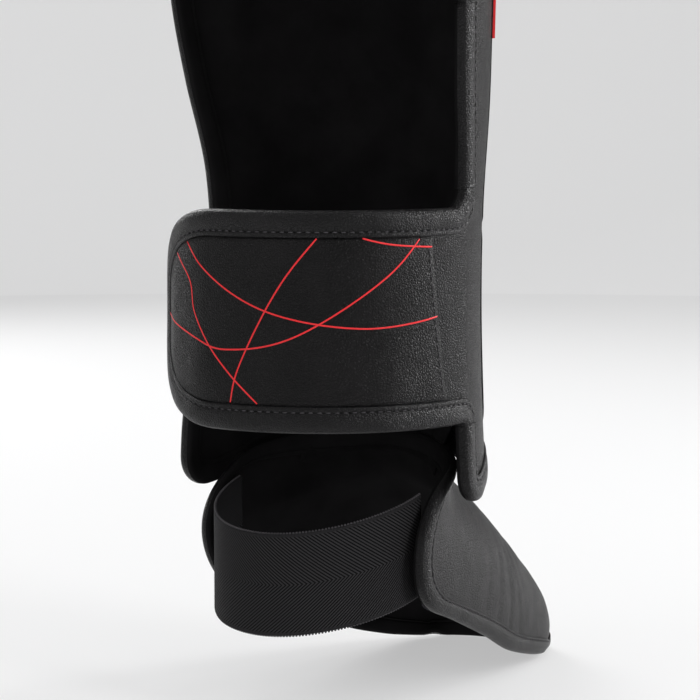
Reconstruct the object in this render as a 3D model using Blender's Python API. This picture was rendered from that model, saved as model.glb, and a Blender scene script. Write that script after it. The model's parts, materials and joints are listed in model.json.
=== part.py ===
"""A martial-arts shin and instep guard for a left leg, as it is worn: a padded shin section that is open
at the back, two calf straps with hook-and-loop closures, and a padded instep section that hinges at the
ankle and carries an elastic heel band.

Frame: metres, +Z up, the wearer's toes towards -Y. The origin is on the leg's axis, just below the
toe end's lowest edge. The straps are sewn to the -X side and close on the +X side.
"""

import math

import bmesh
import bpy
from mathutils import Matrix, Vector

# ---- Driving dimensions -------------------------------------------------------------------------
LEG_HALF_WIDTH = 0.069  # leg's axis to the lining, above the ankle
WING_BOTTOM = 0.1015  # height of the shin section's lowest edge, beside the ankle
SHIN_LENGTH = 0.3815  # from there to the top edge at the sides
CROWN_RISE = 0.020  # how far the top edge rises at the front
ANKLE_ARCH = 0.027  # how far the bottom edge rises over the front of the ankle
CLOSING_RISE = 0.004  # how much higher the bottom edge is on the straps' closing side
BOTTOM_CORNER = 0.016
TOP_CORNER = 0.026

STRAP_WIDTH = 0.101
STRAP_LENGTH = 0.199  # along the strap, from the shin section's edge to the free end
STRAP_CORNER = 0.041  # how far up the free end its corners are rounded
STRAP_CORNER_RUN = 0.056  # and how far along the strap
STRAP_HINGE = 0.011  # from the shin section's edge to the line where the strap bends open
PANEL_START = 0.0125  # from that line to the printed panel
PANEL_LEAN = 0.005  # how far the panel's sewn edge leans either way over the strap's width
LOWER_STRAP_UP = 0.046  # from the wings' bottom edge to the lower strap
UPPER_STRAP_DOWN = 0.029  # from the top edge at the sides to the upper strap

TOE_REACH = 0.174  # leg's axis to the toe end
TOE_HEIGHT = 0.0375  # top of the toe end
TOE_TURN = 0.019  # from the toe end back to where its lower edge stops
TUCK_AT_SIDES = 0.0045  # from the leg's half width in to the instep section's top edge, inside the shin section
TUCK_AT_FRONT = 0.0078
WING_BACK = 0.0095  # leg's axis to the back of the instep section's wings
CLOSING_WING_EXTRA = 0.009  # how much further back the wing on the straps' closing side reaches
HEEL_BAND_WIDTH = 0.050
HEEL_BAND_BACK = 0.058  # leg's axis to the back of the band
HEEL_BAND_DROP = 0.0165  # from the middle of its ends to the middle of its back

# ---- Layers, from the leg outwards --------------------------------------------------------------
LINING = 0.0012
LEATHER = 0.0012
COMFORT_FOAM = 0.0030
IMPACT_FOAM = 0.0030
FRONT_COMFORT_EXTRA = 0.0020
FRONT_IMPACT_EXTRA = 0.0050
FRONT_PAD = 0.0020
FRONT_PAD_EXTRA = 0.0035
INSTEP_FOAM = 0.0080
WING_FOAM = 0.0016  # the instep foam thins to this at its edges
EDGE_FOAM = 0.0009  # each foam of the shin section thins to this at its back edges
EDGE_TAPER = 0.024  # how far in from the binding the foam reaches its full thickness
STRAP_LINING = 0.0008
STRAP_FOAM = 0.0022
STRAP_LEATHER = 0.0010
STRAP_BINDING = 0.0008
PRINT_PANEL = 0.0006
TAB = 0.0013
LOOP_PILE = 0.0009
HOOK_TAPE = 0.0012
BINDING = 0.0012
BINDING_WIDTH = 0.0105
INSTEP_BINDING_WIDTH = 0.0085
HEEL_BAND = 0.0016
GAP = 0.0003  # between sewn or touching pieces
PANEL_GAP = 0.0005  # under pieces sewn onto a curved face
SHIN_LIFT = 0.0008  # under the shin section's edge binding
INSTEP_LIFT = 0.0014  # under the instep section's edge binding

# ---- Angles round the leg, from the front; positive towards -X ----------------------------------
FRONT_PAD_HALF = math.radians(44)


def through(stations, x):
    """Smooth curve through (x, y) stations in rising x, flat beyond both ends."""
    if x <= stations[0][0]:
        return stations[0][1]
    if x >= stations[-1][0]:
        return stations[-1][1]
    last = len(stations) - 1
    i = max(k for k in range(last) if stations[k][0] <= x)

    def slope(k):
        low, high = max(k - 1, 0), min(k + 1, last)
        return (stations[high][1] - stations[low][1]) / (stations[high][0] - stations[low][0])

    (x0, y0), (x1, y1) = stations[i], stations[i + 1]
    span = x1 - x0
    t = (x - x0) / span
    rise = y1 - y0
    return (
        y0
        + rise * t * t * (3 - 2 * t)
        + span * t * (1 - t) * (slope(i) * (1 - t) - slope(i + 1) * t)
    )


def bump(x, half_width):
    """1 at x = 0, falling smoothly to 0 at half_width either side."""
    return 0.5 * (1 + math.cos(math.pi * min(1.0, abs(x) / half_width)))


def corner_inset(distance, radius, depth=None):
    """How far a rounded corner's outline has drawn in, at this distance from the end edge. The corner
    is a quarter circle, or a quarter ellipse of this depth."""
    if depth is not None:
        return corner_inset(distance / radius, 1.0) * depth
    inside = min(radius, max(0.0, radius - distance))
    return radius - math.sqrt(radius**2 - inside**2)


def spread(count, crowding=0.5):
    """count + 1 values from 0 to 1, closer together near both ends."""
    even = [i / count for i in range(count + 1)]
    return [(1 - crowding) * t + crowding * 0.5 * (1 - math.cos(math.pi * t)) for t in even]


# ---- Materials ----------------------------------------------------------------------------------
MATERIALS = {
    "black_leather": ((0.022, 0.021, 0.023), 0.52),
    "binding_leather": ((0.026, 0.025, 0.027), 0.48),
    "black_lining": ((0.006, 0.006, 0.006), 0.95),
    "dense_foam": ((0.05, 0.05, 0.055), 0.90),
    "soft_foam": ((0.12, 0.12, 0.13), 0.95),
    "printed_leather": ((0.020, 0.019, 0.021), 0.55),
    "black_elastic": ((0.014, 0.014, 0.015), 0.80),
    "hook_tape": ((0.012, 0.012, 0.012), 0.70),
    "loop_pile": ((0.010, 0.010, 0.010), 1.00),
    "red_rubber": ((0.62, 0.02, 0.02), 0.45),
}


def material(name):
    if name in bpy.data.materials:
        return bpy.data.materials[name]
    colour, roughness = MATERIALS[name]
    made = bpy.data.materials.new(name)
    made.use_nodes = True
    shader = made.node_tree.nodes["Principled BSDF"]
    shader.inputs["Base Color"].default_value = (*colour, 1.0)
    shader.inputs["Roughness"].default_value = roughness
    shader.inputs["Metallic"].default_value = 0.0
    return made


# ---- Mesh builders ------------------------------------------------------------------------------
def add_object(name, mesh_of, material_name, parent):
    """Links a closed bmesh as a named object, shaded smooth, on its parent empty."""
    bmesh.ops.triangulate(mesh_of, faces=mesh_of.faces, quad_method="SHORT_EDGE")
    bmesh.ops.recalc_face_normals(mesh_of, faces=mesh_of.faces)
    mesh = bpy.data.meshes.new(name)
    mesh_of.to_mesh(mesh)
    mesh_of.free()
    mesh.shade_smooth()
    mesh.set_sharp_from_angle(angle=math.radians(35))
    mesh.materials.append(material(material_name))
    made = bpy.data.objects.new(name, mesh)
    bpy.context.scene.collection.objects.link(made)
    made.parent = parent
    made.matrix_parent_inverse = parent.matrix_world.inverted()
    return made


def slab(name, inner, outer, material_name, parent):
    """A closed layer between two grids of points that have the same rows and columns."""
    mesh_of = bmesh.new()
    below = [[mesh_of.verts.new(point) for point in row] for row in inner]
    above = [[mesh_of.verts.new(point) for point in row] for row in outer]
    last_row, last_column = len(inner) - 1, len(inner[0]) - 1
    for i in range(last_row):
        for j in range(last_column):
            for side in (below, above):
                mesh_of.faces.new((side[i][j], side[i][j + 1], side[i + 1][j + 1], side[i + 1][j]))
        for j in (0, last_column):
            mesh_of.faces.new((below[i][j], below[i + 1][j], above[i + 1][j], above[i][j]))
    for j in range(last_column):
        for i in (0, last_row):
            mesh_of.faces.new((below[i][j], below[i][j + 1], above[i][j + 1], above[i][j]))
    return add_object(name, mesh_of, material_name, parent)


def sweep(name, sections, closed, material_name, parent):
    """A closed solid through matching sections, joined end to end or capped."""
    mesh_of = bmesh.new()
    rings = [[mesh_of.verts.new(point) for point in section] for section in sections]
    count, corners = len(rings), len(rings[0])
    for i in range(count if closed else count - 1):
        here, ahead = rings[i], rings[(i + 1) % count]
        for k in range(corners):
            following = (k + 1) % corners
            mesh_of.faces.new((here[k], here[following], ahead[following], ahead[k]))
    if not closed:
        for ring in (rings[0], rings[-1]):
            # The binding's section is a U, so it is capped as three quads and not as one face.
            for a, b, c, d in ((0, 1, 2, 7), (2, 3, 6, 7), (3, 4, 5, 6)) if corners == 8 else ((0, 1, 2, 3),):
                mesh_of.faces.new((ring[a], ring[b], ring[c], ring[d]))
    return add_object(name, mesh_of, material_name, parent)


def empty(name, place=(0, 0, 0), parent=None):
    made = bpy.data.objects.new(name, None)
    bpy.context.scene.collection.objects.link(made)
    made.location = place
    if parent:
        made.parent = parent
        made.matrix_parent_inverse = parent.matrix_world.inverted()
    bpy.context.view_layer.update()
    return made


# ---- The leg, which every curved piece of the shin section follows ------------------------------
# Share of the shin section's height, then the leg's half width and the set-back of its axis, both as
# shares of LEG_HALF_WIDTH.
WIDTH_STATIONS = [(0, 1.04), (0.109, 1.012), (0.268, 0.989), (0.406, 1.01), (0.654, 1.152)]
WIDTH_STATIONS += [(0.802, 1.188), (1, 1.2)]
CENTRE_STATIONS = [(0.367, 0.0), (0.505, 0.045), (0.654, 0.16), (0.802, 0.215), (1.0, 0.24)]
FRONT_DEPTH_RATIO = 0.98


def up_the_shin(z):
    return (z - WING_BOTTOM) / SHIN_LENGTH


def leg_point(angle, z, offset=0.0):
    """A point round the leg at this angle from the front, offset outwards from the lining's inside."""
    share = up_the_shin(z)
    half_width = LEG_HALF_WIDTH * through(WIDTH_STATIONS, share)
    depth = half_width * (FRONT_DEPTH_RATIO if math.cos(angle) > 0 else 1.0)
    centre = LEG_HALF_WIDTH * through(CENTRE_STATIONS, share)
    normal = Vector((-math.sin(angle) / half_width, -math.cos(angle) / depth)).normalized()
    return Vector(
        (
            -half_width * math.sin(angle) + offset * normal.x,
            centre - depth * math.cos(angle) + offset * normal.y,
            z,
        )
    )


# ---- Shin section -------------------------------------------------------------------------------
# Share of the height, then degrees from the front to the back edge, on each side.
HINGE_WRAP = [(0.0, 83), (0.307, 83), (0.426, 84), (0.555, 88), (1.0, 88)]
CLOSING_WRAP = [(0.0, 102), (0.109, 101), (0.307, 86), (0.426, 84), (0.555, 88), (1.0, 88)]
TOP_SIDE = WING_BOTTOM + SHIN_LENGTH
PAD_COLUMNS = 8
WING_COLUMNS = 6


def shin_wrap(z, stations=HINGE_WRAP):
    """Angle from the front to the shin section's back edge."""
    wrap = math.radians(through(stations, up_the_shin(z)))
    drawn_in = corner_inset(z - WING_BOTTOM, BOTTOM_CORNER) + corner_inset(TOP_SIDE - z, TOP_CORNER)
    return wrap - drawn_in / LEG_HALF_WIDTH


def shin_height(angle, side_height):
    """Moves a row that is level at the sides up to the arched bottom edge and the crowned top edge."""
    share = up_the_shin(side_height)
    arch = ANKLE_ARCH * bump(angle, math.radians(88)) ** 0.58 * (1 - share) ** 3
    crown = CROWN_RISE * bump(angle, math.radians(85)) * share**3
    closing = CLOSING_RISE * edge_taper(-angle, math.radians(60)) * bump(share, 0.115)
    return side_height + arch + crown + closing


def strap_bottoms():
    return WING_BOTTOM + LOWER_STRAP_UP, TOP_SIDE - UPPER_STRAP_DOWN - STRAP_WIDTH


def strap_stops():
    """Heights at which the edge binding gives way to a strap, from the bottom up."""
    clear = GAP + STRAP_CORNER * 0.05
    return [z for low in strap_bottoms() for z in (low - clear, low + STRAP_WIDTH + clear)]


def shin_heights():
    """Side heights of the shin section's rows, with a row at each strap's edges."""
    corner = [WING_BOTTOM + BOTTOM_CORNER * t for t in (0, 0.06, 0.22, 0.5)]
    top = [TOP_SIDE - TOP_CORNER * t for t in (0.5, 0.22, 0.06, 0)]
    stops = [WING_BOTTOM + BOTTOM_CORNER] + strap_stops() + [TOP_SIDE - TOP_CORNER]
    heights = list(corner)
    for low, high in zip(stops, stops[1:]):
        steps = max(1, round((high - low) / 0.034))
        heights += [low + (high - low) * i / steps for i in range(steps)]
    return heights + stops[-1:] + top


def shin_columns(right, left):
    """Angles across a row, from the closing side (negative) to the hinge side."""
    flat = min(FRONT_PAD_HALF, 0.7 * left, 0.7 * right)
    wing = [i / WING_COLUMNS for i in range(WING_COLUMNS)]
    return (
        [-left + (left - flat) * t for t in wing]
        + [flat * (2 * i / PAD_COLUMNS - 1) for i in range(PAD_COLUMNS + 1)]
        + [right - (right - flat) * t for t in reversed(wing)]
    )


def shin_grid():
    """(angle, height) at each corner of the shin section's grid."""
    rows = []
    for z in shin_heights():
        angles = shin_columns(shin_wrap(z), shin_wrap(z, CLOSING_WRAP))
        rows.append([(a, shin_height(a, z)) for a in angles])
    return rows


def front_share(angle):
    return bump(angle, math.radians(70))


def edge_taper(distance, reach):
    """1 away from an edge, falling smoothly to 0 at the edge itself."""
    t = max(0.0, min(1.0, distance / reach))
    return t * t * (3 - 2 * t)


def stacked(outside, *thicknesses):
    """(inner, outer) offsets of layers stacked inwards from an outside face, innermost first."""
    faces, top = [], outside
    for thickness in reversed(thicknesses):
        faces.append((top - thickness, top))
        top -= thickness + GAP
    return faces[::-1]


COVER_FACE = LINING + COMFORT_FOAM + IMPACT_FOAM + LEATHER + 3 * GAP  # at the sides of the leg


def shin_layers(place):
    """Offsets of the layers' faces at this place: lining, comfort foam, impact foam, cover."""
    angle, z = place
    stations = HINGE_WRAP if angle > 0 else CLOSING_WRAP
    to_edge = (shin_wrap(z, stations) - abs(angle)) * leg_radius(z)
    full = edge_taper(to_edge - BINDING_WIDTH, EDGE_TAPER)
    comfort = EDGE_FOAM + (COMFORT_FOAM - EDGE_FOAM) * full + FRONT_COMFORT_EXTRA * front_share(angle)
    impact = EDGE_FOAM + (IMPACT_FOAM - EDGE_FOAM) * full + FRONT_IMPACT_EXTRA * front_share(angle)
    extra = (FRONT_COMFORT_EXTRA + FRONT_IMPACT_EXTRA) * front_share(angle)
    return stacked(COVER_FACE + extra, LINING, comfort, impact, LEATHER)


def moved_in(outline, i, distance, closed, metric):
    """Point i of an outline, moved to its left by a distance. Outlines run anticlockwise, so this is
    inwards. metric gives the metres per unit of each of a place's two coordinates."""
    count = len(outline)
    before = outline[(i - 1) % count] if closed or i > 0 else outline[i]
    after = outline[(i + 1) % count] if closed or i < count - 1 else outline[i]
    here = outline[i]
    scale = metric(here)
    direction = Vector([(after[k] - before[k]) * scale[k] for k in (0, 1)]).normalized()
    return here[0] - direction.y * distance / scale[0], here[1] + direction.x * distance / scale[1]


def binding_sections(
    outline, closed, point_at, metric, thickness_at, tape=BINDING, width=BINDING_WIDTH, lift=PANEL_GAP
):
    """U-shaped sections over an edge: an outer leg, the turn past the edge, and an inner leg."""
    edges = [[point_at(place, offset) for offset in thickness_at(place)] for place in outline]
    count = len(outline)
    sections = []
    for i, (inner_edge, outer_edge) in enumerate(edges):
        leg = moved_in(outline, i, width, closed, metric)
        inner, outer = thickness_at(leg)
        before = edges[(i - 1) % count] if closed or i > 0 else edges[i]
        after = edges[(i + 1) % count] if closed or i < count - 1 else edges[i]
        up = (outer_edge - inner_edge).normalized()
        past = (after[0] + after[1] - before[0] - before[1]).cross(up).normalized()
        if past.dot(outer_edge - point_at(leg, outer)) < 0:
            past = -past
        sections.append(
            [
                point_at(leg, outer + lift),
                point_at(leg, outer + lift + tape),
                outer_edge + past * (GAP + tape) + up * (lift + tape),
                inner_edge + past * (GAP + tape) - up * (lift + tape),
                point_at(leg, inner - lift - tape),
                point_at(leg, inner - lift),
                inner_edge + past * GAP - up * lift,
                outer_edge + past * GAP + up * lift,
            ]
        )
    return sections


def leg_radius(z):
    """Radius of the shin section's cover at the sides of the leg, at this height."""
    return LEG_HALF_WIDTH * through(WIDTH_STATIONS, up_the_shin(z)) + COVER_FACE


def on_leg(place, offset):
    return leg_point(place[0], place[1], offset)


def leg_metric(place):
    return leg_radius(place[1]), 1.0


def shin_thickness(place):
    layers = shin_layers(place)
    return layers[0][0], layers[-1][1]


def make_shin_layers(parent):
    grid = shin_grid()
    names = ("shin_lining", "shin_comfort_foam", "shin_impact_foam", "shin_cover")
    finishes = ("black_lining", "soft_foam", "dense_foam", "black_leather")
    for k, (name, finish) in enumerate(zip(names, finishes)):
        inner = [[on_leg(p, shin_layers(p)[k][0]) for p in row] for row in grid]
        outer = [[on_leg(p, shin_layers(p)[k][1]) for p in row] for row in grid]
        slab(name, inner, outer, finish, parent)


def make_shin_bindings(parent):
    """The edge tape is one length from the lower strap down, over the bottom, up the closing side and
    over the top to the upper strap, and a second length between the two straps."""
    grid, heights = shin_grid(), shin_heights()
    low, mid_low, mid_high, high = (heights.index(z) for z in strap_stops())
    hinge_edge = [row[-1] for row in grid]
    closing_edge = [row[0] for row in grid]
    path = hinge_edge[high:-1] + grid[-1][::-1] + closing_edge[-2:0:-1] + grid[0] + hinge_edge[1 : low + 1]
    sections = binding_sections(path, False, on_leg, leg_metric, shin_thickness, lift=SHIN_LIFT)
    sweep("shin_edge_binding", sections, False, "binding_leather", parent)
    between = hinge_edge[mid_low : mid_high + 1]
    sections = binding_sections(between, False, on_leg, leg_metric, shin_thickness, lift=SHIN_LIFT)
    sweep("shin_edge_binding_middle", sections, False, "binding_leather", parent)


def panel(name, grid, inner_at, outer_at, finish, parent):
    inner = [[on_leg(p, inner_at(p)) for p in row] for row in grid]
    outer = [[on_leg(p, outer_at(p)) for p in row] for row in grid]
    return slab(name, inner, outer, finish, parent)


def cover_face(place):
    return shin_layers(place)[-1][1]


def pad_face(place):
    return cover_face(place) + PANEL_GAP + FRONT_PAD + FRONT_PAD_EXTRA * bump(place[0], FRONT_PAD_HALF)


def make_front(parent):
    """The raised pad down the front, and a plain badge bar on each side of it."""
    margin, corner = BINDING_WIDTH + 0.004, 0.018
    low, high = WING_BOTTOM + margin, TOP_SIDE - margin
    heights = [low + corner * t for t in (0, 0.08, 0.3)]
    heights += [z for z in shin_heights() if low + 0.6 * corner < z < high - 0.6 * corner]
    heights += [high - corner * t for t in (0.3, 0.08, 0)]
    grid = []
    for z in heights:
        drawn_in = corner_inset(z - low, corner) + corner_inset(high - z, corner)
        half = FRONT_PAD_HALF - drawn_in / LEG_HALF_WIDTH
        angles = [half * (2 * j / PAD_COLUMNS - 1) for j in range(PAD_COLUMNS + 1)]
        grid.append([(a, shin_height(a, z)) for a in angles])
    panel("shin_front_pad", grid, lambda p: cover_face(p) + PANEL_GAP, pad_face, "black_leather", parent)
    badge = [WING_BOTTOM + share * SHIN_LENGTH for share in (0.60, 0.66, 0.72, 0.78)]
    for side, word in ((1, "right"), (-1, "left")):
        first, last = sorted((side * math.radians(50), side * math.radians(57)))
        grid = [[(first + (last - first) * t, shin_height(first, z)) for t in (0, 0.5, 1)] for z in badge]
        panel(
            f"badge_bar_{word}",
            grid,
            lambda p: cover_face(p) + PANEL_GAP,
            lambda p: cover_face(p) + PANEL_GAP + LEATHER,
            "red_rubber",
            parent,
        )


def make_gusset(parent):
    """The hem of the gusset that closes the gap over the ankle, sewn inside the shin section's front."""
    low = WING_BOTTOM + ANKLE_ARCH + BINDING_WIDTH + 0.002
    half = math.radians(40)
    angles = [half * (2 * j / 8 - 1) for j in range(9)]
    grid = [[(a, low + rise - 0.006 * (abs(a) / half) ** 2) for a in angles] for rise in (0, 0.005, 0.010)]
    panel(
        "ankle_gusset",
        grid,
        lambda p: shin_thickness(p)[0] - PANEL_GAP - LINING,
        lambda p: shin_thickness(p)[0] - PANEL_GAP,
        "black_lining",
        parent,
    )


# ---- Calf straps --------------------------------------------------------------------------------
# Offsets from the leg of a closed strap's layers. Its cover is flush with the shin section's cover.
STRAP_LINING_FACES, STRAP_FOAM_FACES, STRAP_COVER_FACES = stacked(
    COVER_FACE, STRAP_LINING, STRAP_FOAM, STRAP_LEATHER
)
HOOK_TOP = STRAP_LINING_FACES[0] - PANEL_GAP
HOOK_FACES = (HOOK_TOP - HOOK_TAPE, HOOK_TOP)
TAB_FACES, LOOP_FACES = stacked(HOOK_FACES[0] - PANEL_GAP, TAB, LOOP_PILE)
PRINT_FACES = (COVER_FACE + PANEL_GAP, COVER_FACE + PANEL_GAP + PRINT_PANEL)
STRAP_COLUMNS = 20
STRAP_ROWS = 5


def strap_radius(low):
    """Radius of the strap's outside at the middle of its width."""
    return leg_radius(low + STRAP_WIDTH / 2)


def strap_angles(low):
    """Angles of the hinge line and of the free end."""
    radius = strap_radius(low)
    edge = shin_wrap(low + STRAP_WIDTH / 2)
    return edge + STRAP_HINGE / radius, edge + STRAP_LENGTH / radius


def strap_grid(low, start_at, end, margin=0.0, columns=STRAP_COLUMNS):
    """(angle, height) grid whose rows run up the strap and whose columns run along it. start_at gives
    the first angle at each height, and the corners at the free end are rounded."""
    mid, radius = low + STRAP_WIDTH / 2, strap_radius(low)
    grid = []
    for t in spread(columns, 0.3):
        shares = [2 * k / STRAP_ROWS - 1 for k in range(STRAP_ROWS + 1)]
        to_end = (1 - t) * (end - start_at(mid)) * radius
        drawn_in = corner_inset(to_end, STRAP_CORNER_RUN - margin, STRAP_CORNER - margin)
        half = STRAP_WIDTH / 2 - margin - drawn_in
        heights = [mid + half * share for share in shares]
        grid.append([(start_at(z) + (end - start_at(z)) * t, z) for z in heights])
    return grid


def flat_panel(name, grid, faces, finish, parent):
    return panel(name, grid, lambda p: faces[0], lambda p: faces[1], finish, parent)


def strap_hinge_place(low):
    """The line on the strap's outer face about which it bends open."""
    mid = low + STRAP_WIDTH / 2
    return leg_point(strap_angles(low)[0], mid, COVER_FACE + PANEL_GAP + STRAP_BINDING)


def make_strap_root(word, low, parent):
    """The stub of strap that is sewn to the shin section's edge and doesn't turn."""
    hinge = strap_angles(low)[0] - GAP / LEG_HALF_WIDTH
    shares = [k / STRAP_ROWS for k in range(STRAP_ROWS + 1)]
    grid = []
    for t in (0.0, 0.5, 1.0):
        column = []
        for z in [low + STRAP_WIDTH * share for share in shares]:
            start = shin_wrap(z) + GAP / LEG_HALF_WIDTH
            column.append((start + (hinge - start) * t, z))
        grid.append(column)
    faces = (STRAP_LINING_FACES[0], STRAP_COVER_FACES[1])
    flat_panel(f"{word}_strap_root", grid, faces, "black_leather", parent)


def strap_thickness(_place):
    return STRAP_LINING_FACES[0], STRAP_COVER_FACES[1]


def make_strap(word, low, parent):
    """A padded strap with bound edges, a printed panel and hook tape, on its own hinge."""
    hinge, end = strap_angles(low)
    radius = strap_radius(low)
    mid = low + STRAP_WIDTH / 2
    grid = strap_grid(low, lambda z: hinge + GAP / radius, end)
    flat_panel(f"{word}_strap_lining", grid, STRAP_LINING_FACES, "black_lining", parent)
    flat_panel(f"{word}_strap_foam", grid, STRAP_FOAM_FACES, "soft_foam", parent)
    flat_panel(f"{word}_strap_cover", grid, STRAP_COVER_FACES, "black_leather", parent)
    outline = [column[-1] for column in grid] + grid[-1][-2:0:-1] + [column[0] for column in grid][::-1]
    sections = binding_sections(
        outline[::-1], False, on_leg, leg_metric, strap_thickness, STRAP_BINDING
    )
    sweep(f"{word}_strap_binding", sections, False, "binding_leather", parent)

    inset = BINDING_WIDTH + 0.0022
    panel_end = end - inset / radius

    def panel_start(z):
        lean = PANEL_LEAN * (mid - z) / (STRAP_WIDTH / 2)
        return hinge + (PANEL_START - lean) / radius

    print_grid = strap_grid(low, panel_start, panel_end, inset)
    flat_panel(f"{word}_print_panel", print_grid, PRINT_FACES, "printed_leather", parent)
    hook_start = end - 0.29 * STRAP_LENGTH / radius
    hook_grid = strap_grid(low, lambda z: hook_start, panel_end, inset, 10)
    flat_panel(f"{word}_hook_tape", hook_grid, HOOK_FACES, "hook_tape", parent)


def make_tab(word, low, parent):
    """The thin flap on the closing side that the strap fastens to, faced with loop pile."""
    mid, radius = low + STRAP_WIDTH / 2, LEG_HALF_WIDTH
    first = strap_angles(low)[1] - 0.44 * STRAP_LENGTH / radius
    clear = (3 * GAP + BINDING) / radius + 0.0006 / radius
    corner, margin = STRAP_CORNER * 0.7, STRAP_WIDTH * 0.04
    shares = [2 * k / STRAP_ROWS - 1 for k in range(STRAP_ROWS + 1)]

    def root(z):
        return 2 * math.pi - shin_wrap(z, CLOSING_WRAP) - clear

    def rise(place):
        """The flap leaves the shin section's edge halfway through it, and settles on the leg."""
        to_root = (root(place[1]) - place[0]) * radius
        return 0.0035 * (1 - edge_taper(to_root, 0.022))

    grid = []
    for t in spread(12, 0.35):
        half = STRAP_WIDTH / 2 - margin - corner_inset(t * (root(mid) - first) * radius, corner)
        grid.append([(first + (root(z) - first) * t, z) for z in (mid + half * share for share in shares)])
    panel(
        f"{word}_closing_tab",
        grid,
        lambda p: TAB_FACES[0] + rise(p),
        lambda p: TAB_FACES[1] + rise(p),
        "black_leather",
        parent,
    )
    pile = [[(a, mid + (z - mid) * 0.74) for a, z in column] for column in grid[1:-4]]
    flat_panel(f"{word}_loop_pile", pile, LOOP_FACES, "loop_pile", parent)


# ---- Instep section -----------------------------------------------------------------------------
# across runs from -1 to 1, from one lower edge over the ridge to the other. down runs from 0 at the top
# edge to 1 at the toes. Each station is (down, share), for the outside face.
RIDGE_FORWARD = [(0, 0.0), (0.12, 0.039), (0.25, 0.148), (0.4, 0.289), (0.7, 0.633), (0.8, 0.781)]
RIDGE_FORWARD += [(0.9, 0.914), (1, 1.0)]
RIDGE_UP = [(0, 1.0), (0.12, 0.90), (0.25, 0.77), (0.4, 0.62), (0.7, 0.30), (0.8, 0.17)]
RIDGE_UP += [(0.9, -0.02), (1, -0.36)]
EDGE_BACK = [(0, -1.3), (0.08, 0.0), (0.16, 0.75), (0.24, 1.0), (0.33, 0.75), (0.42, -0.3), (0.5, -2.6)]
EDGE_BACK += [(0.6, -6.3), (0.7, -9.5), (0.8, -12.4), (0.9, -14.5), (1.0, -15.9)]
EDGE_UP = [(0, 0.869), (0.08, 0.766), (0.16, 0.667), (0.24, 0.568), (0.33, 0.484), (0.42, 0.413), (0.5, 0.348)]
EDGE_UP += [(0.6, 0.237), (0.7, 0.133), (0.8, 0.072), (0.9, 0.040), (1, 0.019)]
EDGE_HALF = [(0, 1.0), (0.3, 1.026), (0.45, 1.01), (0.6, 0.92), (0.8, 0.76), (0.9, 0.69), (1.0, 0.56)]
SQUARENESS = [(0, 1.14), (0.12, 1.08), (0.4, 0.80), (1.0, 0.80)]
INSTEP_TOP = WING_BOTTOM + ANKLE_ARCH + 0.002
RIDGE_START = LEG_HALF_WIDTH - TUCK_AT_FRONT
WING_HALF_WIDTH = LEG_HALF_WIDTH - TUCK_AT_SIDES
INSTEP_ROWS = 9
ANKLE_CORNER = 0.013
TOE_CORNER = 0.010
EDGE_RUN = 0.24  # metres along the lower edges per unit down, near both ends
INSTEP_COLUMNS = 12


def instep_point(across, down, offset=0.0):
    """A point of the instep section, offset outwards from its outside face."""

    def face(u, v):
        turn = u * math.pi / 2
        power = through(SQUARENESS, v)
        side = math.copysign(abs(math.sin(turn)) ** power, turn)
        drop = 1 - max(0.0, math.cos(turn)) ** power
        ridge_y = -RIDGE_START - (TOE_REACH - RIDGE_START) * through(RIDGE_FORWARD, v)
        ridge_z = TOE_HEIGHT + (INSTEP_TOP - TOE_HEIGHT) * through(RIDGE_UP, v)
        back = through(EDGE_BACK, v)
        edge_y = back * (WING_BACK if back > 0 else (TOE_REACH - TOE_TURN) / -EDGE_BACK[-1][1])
        edge_y += (CLOSING_WING_EXTRA if u < 0 else 0) * bump(v - 0.1, 0.26)
        edge_z = INSTEP_TOP * through(EDGE_UP, v)
        half = WING_HALF_WIDTH * through(EDGE_HALF, v)
        return Vector((-half * side, ridge_y + (edge_y - ridge_y) * drop, ridge_z + (edge_z - ridge_z) * drop))

    def extended(u, v):
        """The face, carried on straight past its edges."""
        near_u, near_v, step = max(-1.0, min(1.0, u)), max(0.0, min(1.0, v)), 0.02
        place = face(near_u, near_v)
        if u != near_u:
            back = face(near_u - math.copysign(step, u), near_v)
            place = place + (place - back) * (abs(u - near_u) / step)
        if v != near_v:
            back = face(near_u, near_v + (step if v < 0 else -step))
            place = place + (face(near_u, near_v) - back) * (abs(v - near_v) / step)
        return place

    step = 2e-3
    near_u, near_v = max(-0.99, min(0.99, across)), max(0.01, min(0.99, down))
    along = face(near_u + step, near_v) - face(near_u - step, near_v)
    slope = face(near_u, near_v + step) - face(near_u, near_v - step)
    return extended(across, down) + along.cross(slope).normalized() * offset


def on_instep(place, offset):
    return instep_point(place[0], place[1], offset)


def instep_metric(place):
    """Metres per unit across and per unit down, near this place."""
    step = 0.02
    across, down = max(-1.0, min(1.0, place[0])), max(0.0, min(1.0, place[1]))
    v0, v1 = max(down - step, 0.0), min(down + step, 1.0)
    u0, u1 = max(across - step, -1.0), min(across + step, 1.0)
    return (
        (instep_point(u1, down) - instep_point(u0, down)).length / (u1 - u0),
        (instep_point(across, v1) - instep_point(across, v0)).length / (v1 - v0),
    )


def wing_inset(down):
    """How far a rounded corner has drawn the wings' edges in, in metres."""
    return corner_inset(down * EDGE_RUN, ANKLE_CORNER) + corner_inset((1 - down) * EDGE_RUN, TOE_CORNER)


def instep_layers(place):
    """Offsets of the layers' faces: lining, foam, cover. The foam thins towards every edge."""
    across, down = place
    wide, long = instep_metric(place)
    full = 1.0
    for distance in ((1 - abs(across)) * wide - wing_inset(down), (1 - down) * long, down * long):
        full *= edge_taper(distance - INSTEP_BINDING_WIDTH - 0.001, EDGE_TAPER)
    return stacked(0.0, LINING, WING_FOAM + (INSTEP_FOAM - WING_FOAM) * full, LEATHER)


def instep_thickness(place):
    layers = instep_layers(place)
    return layers[0][0], layers[-1][1]


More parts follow.
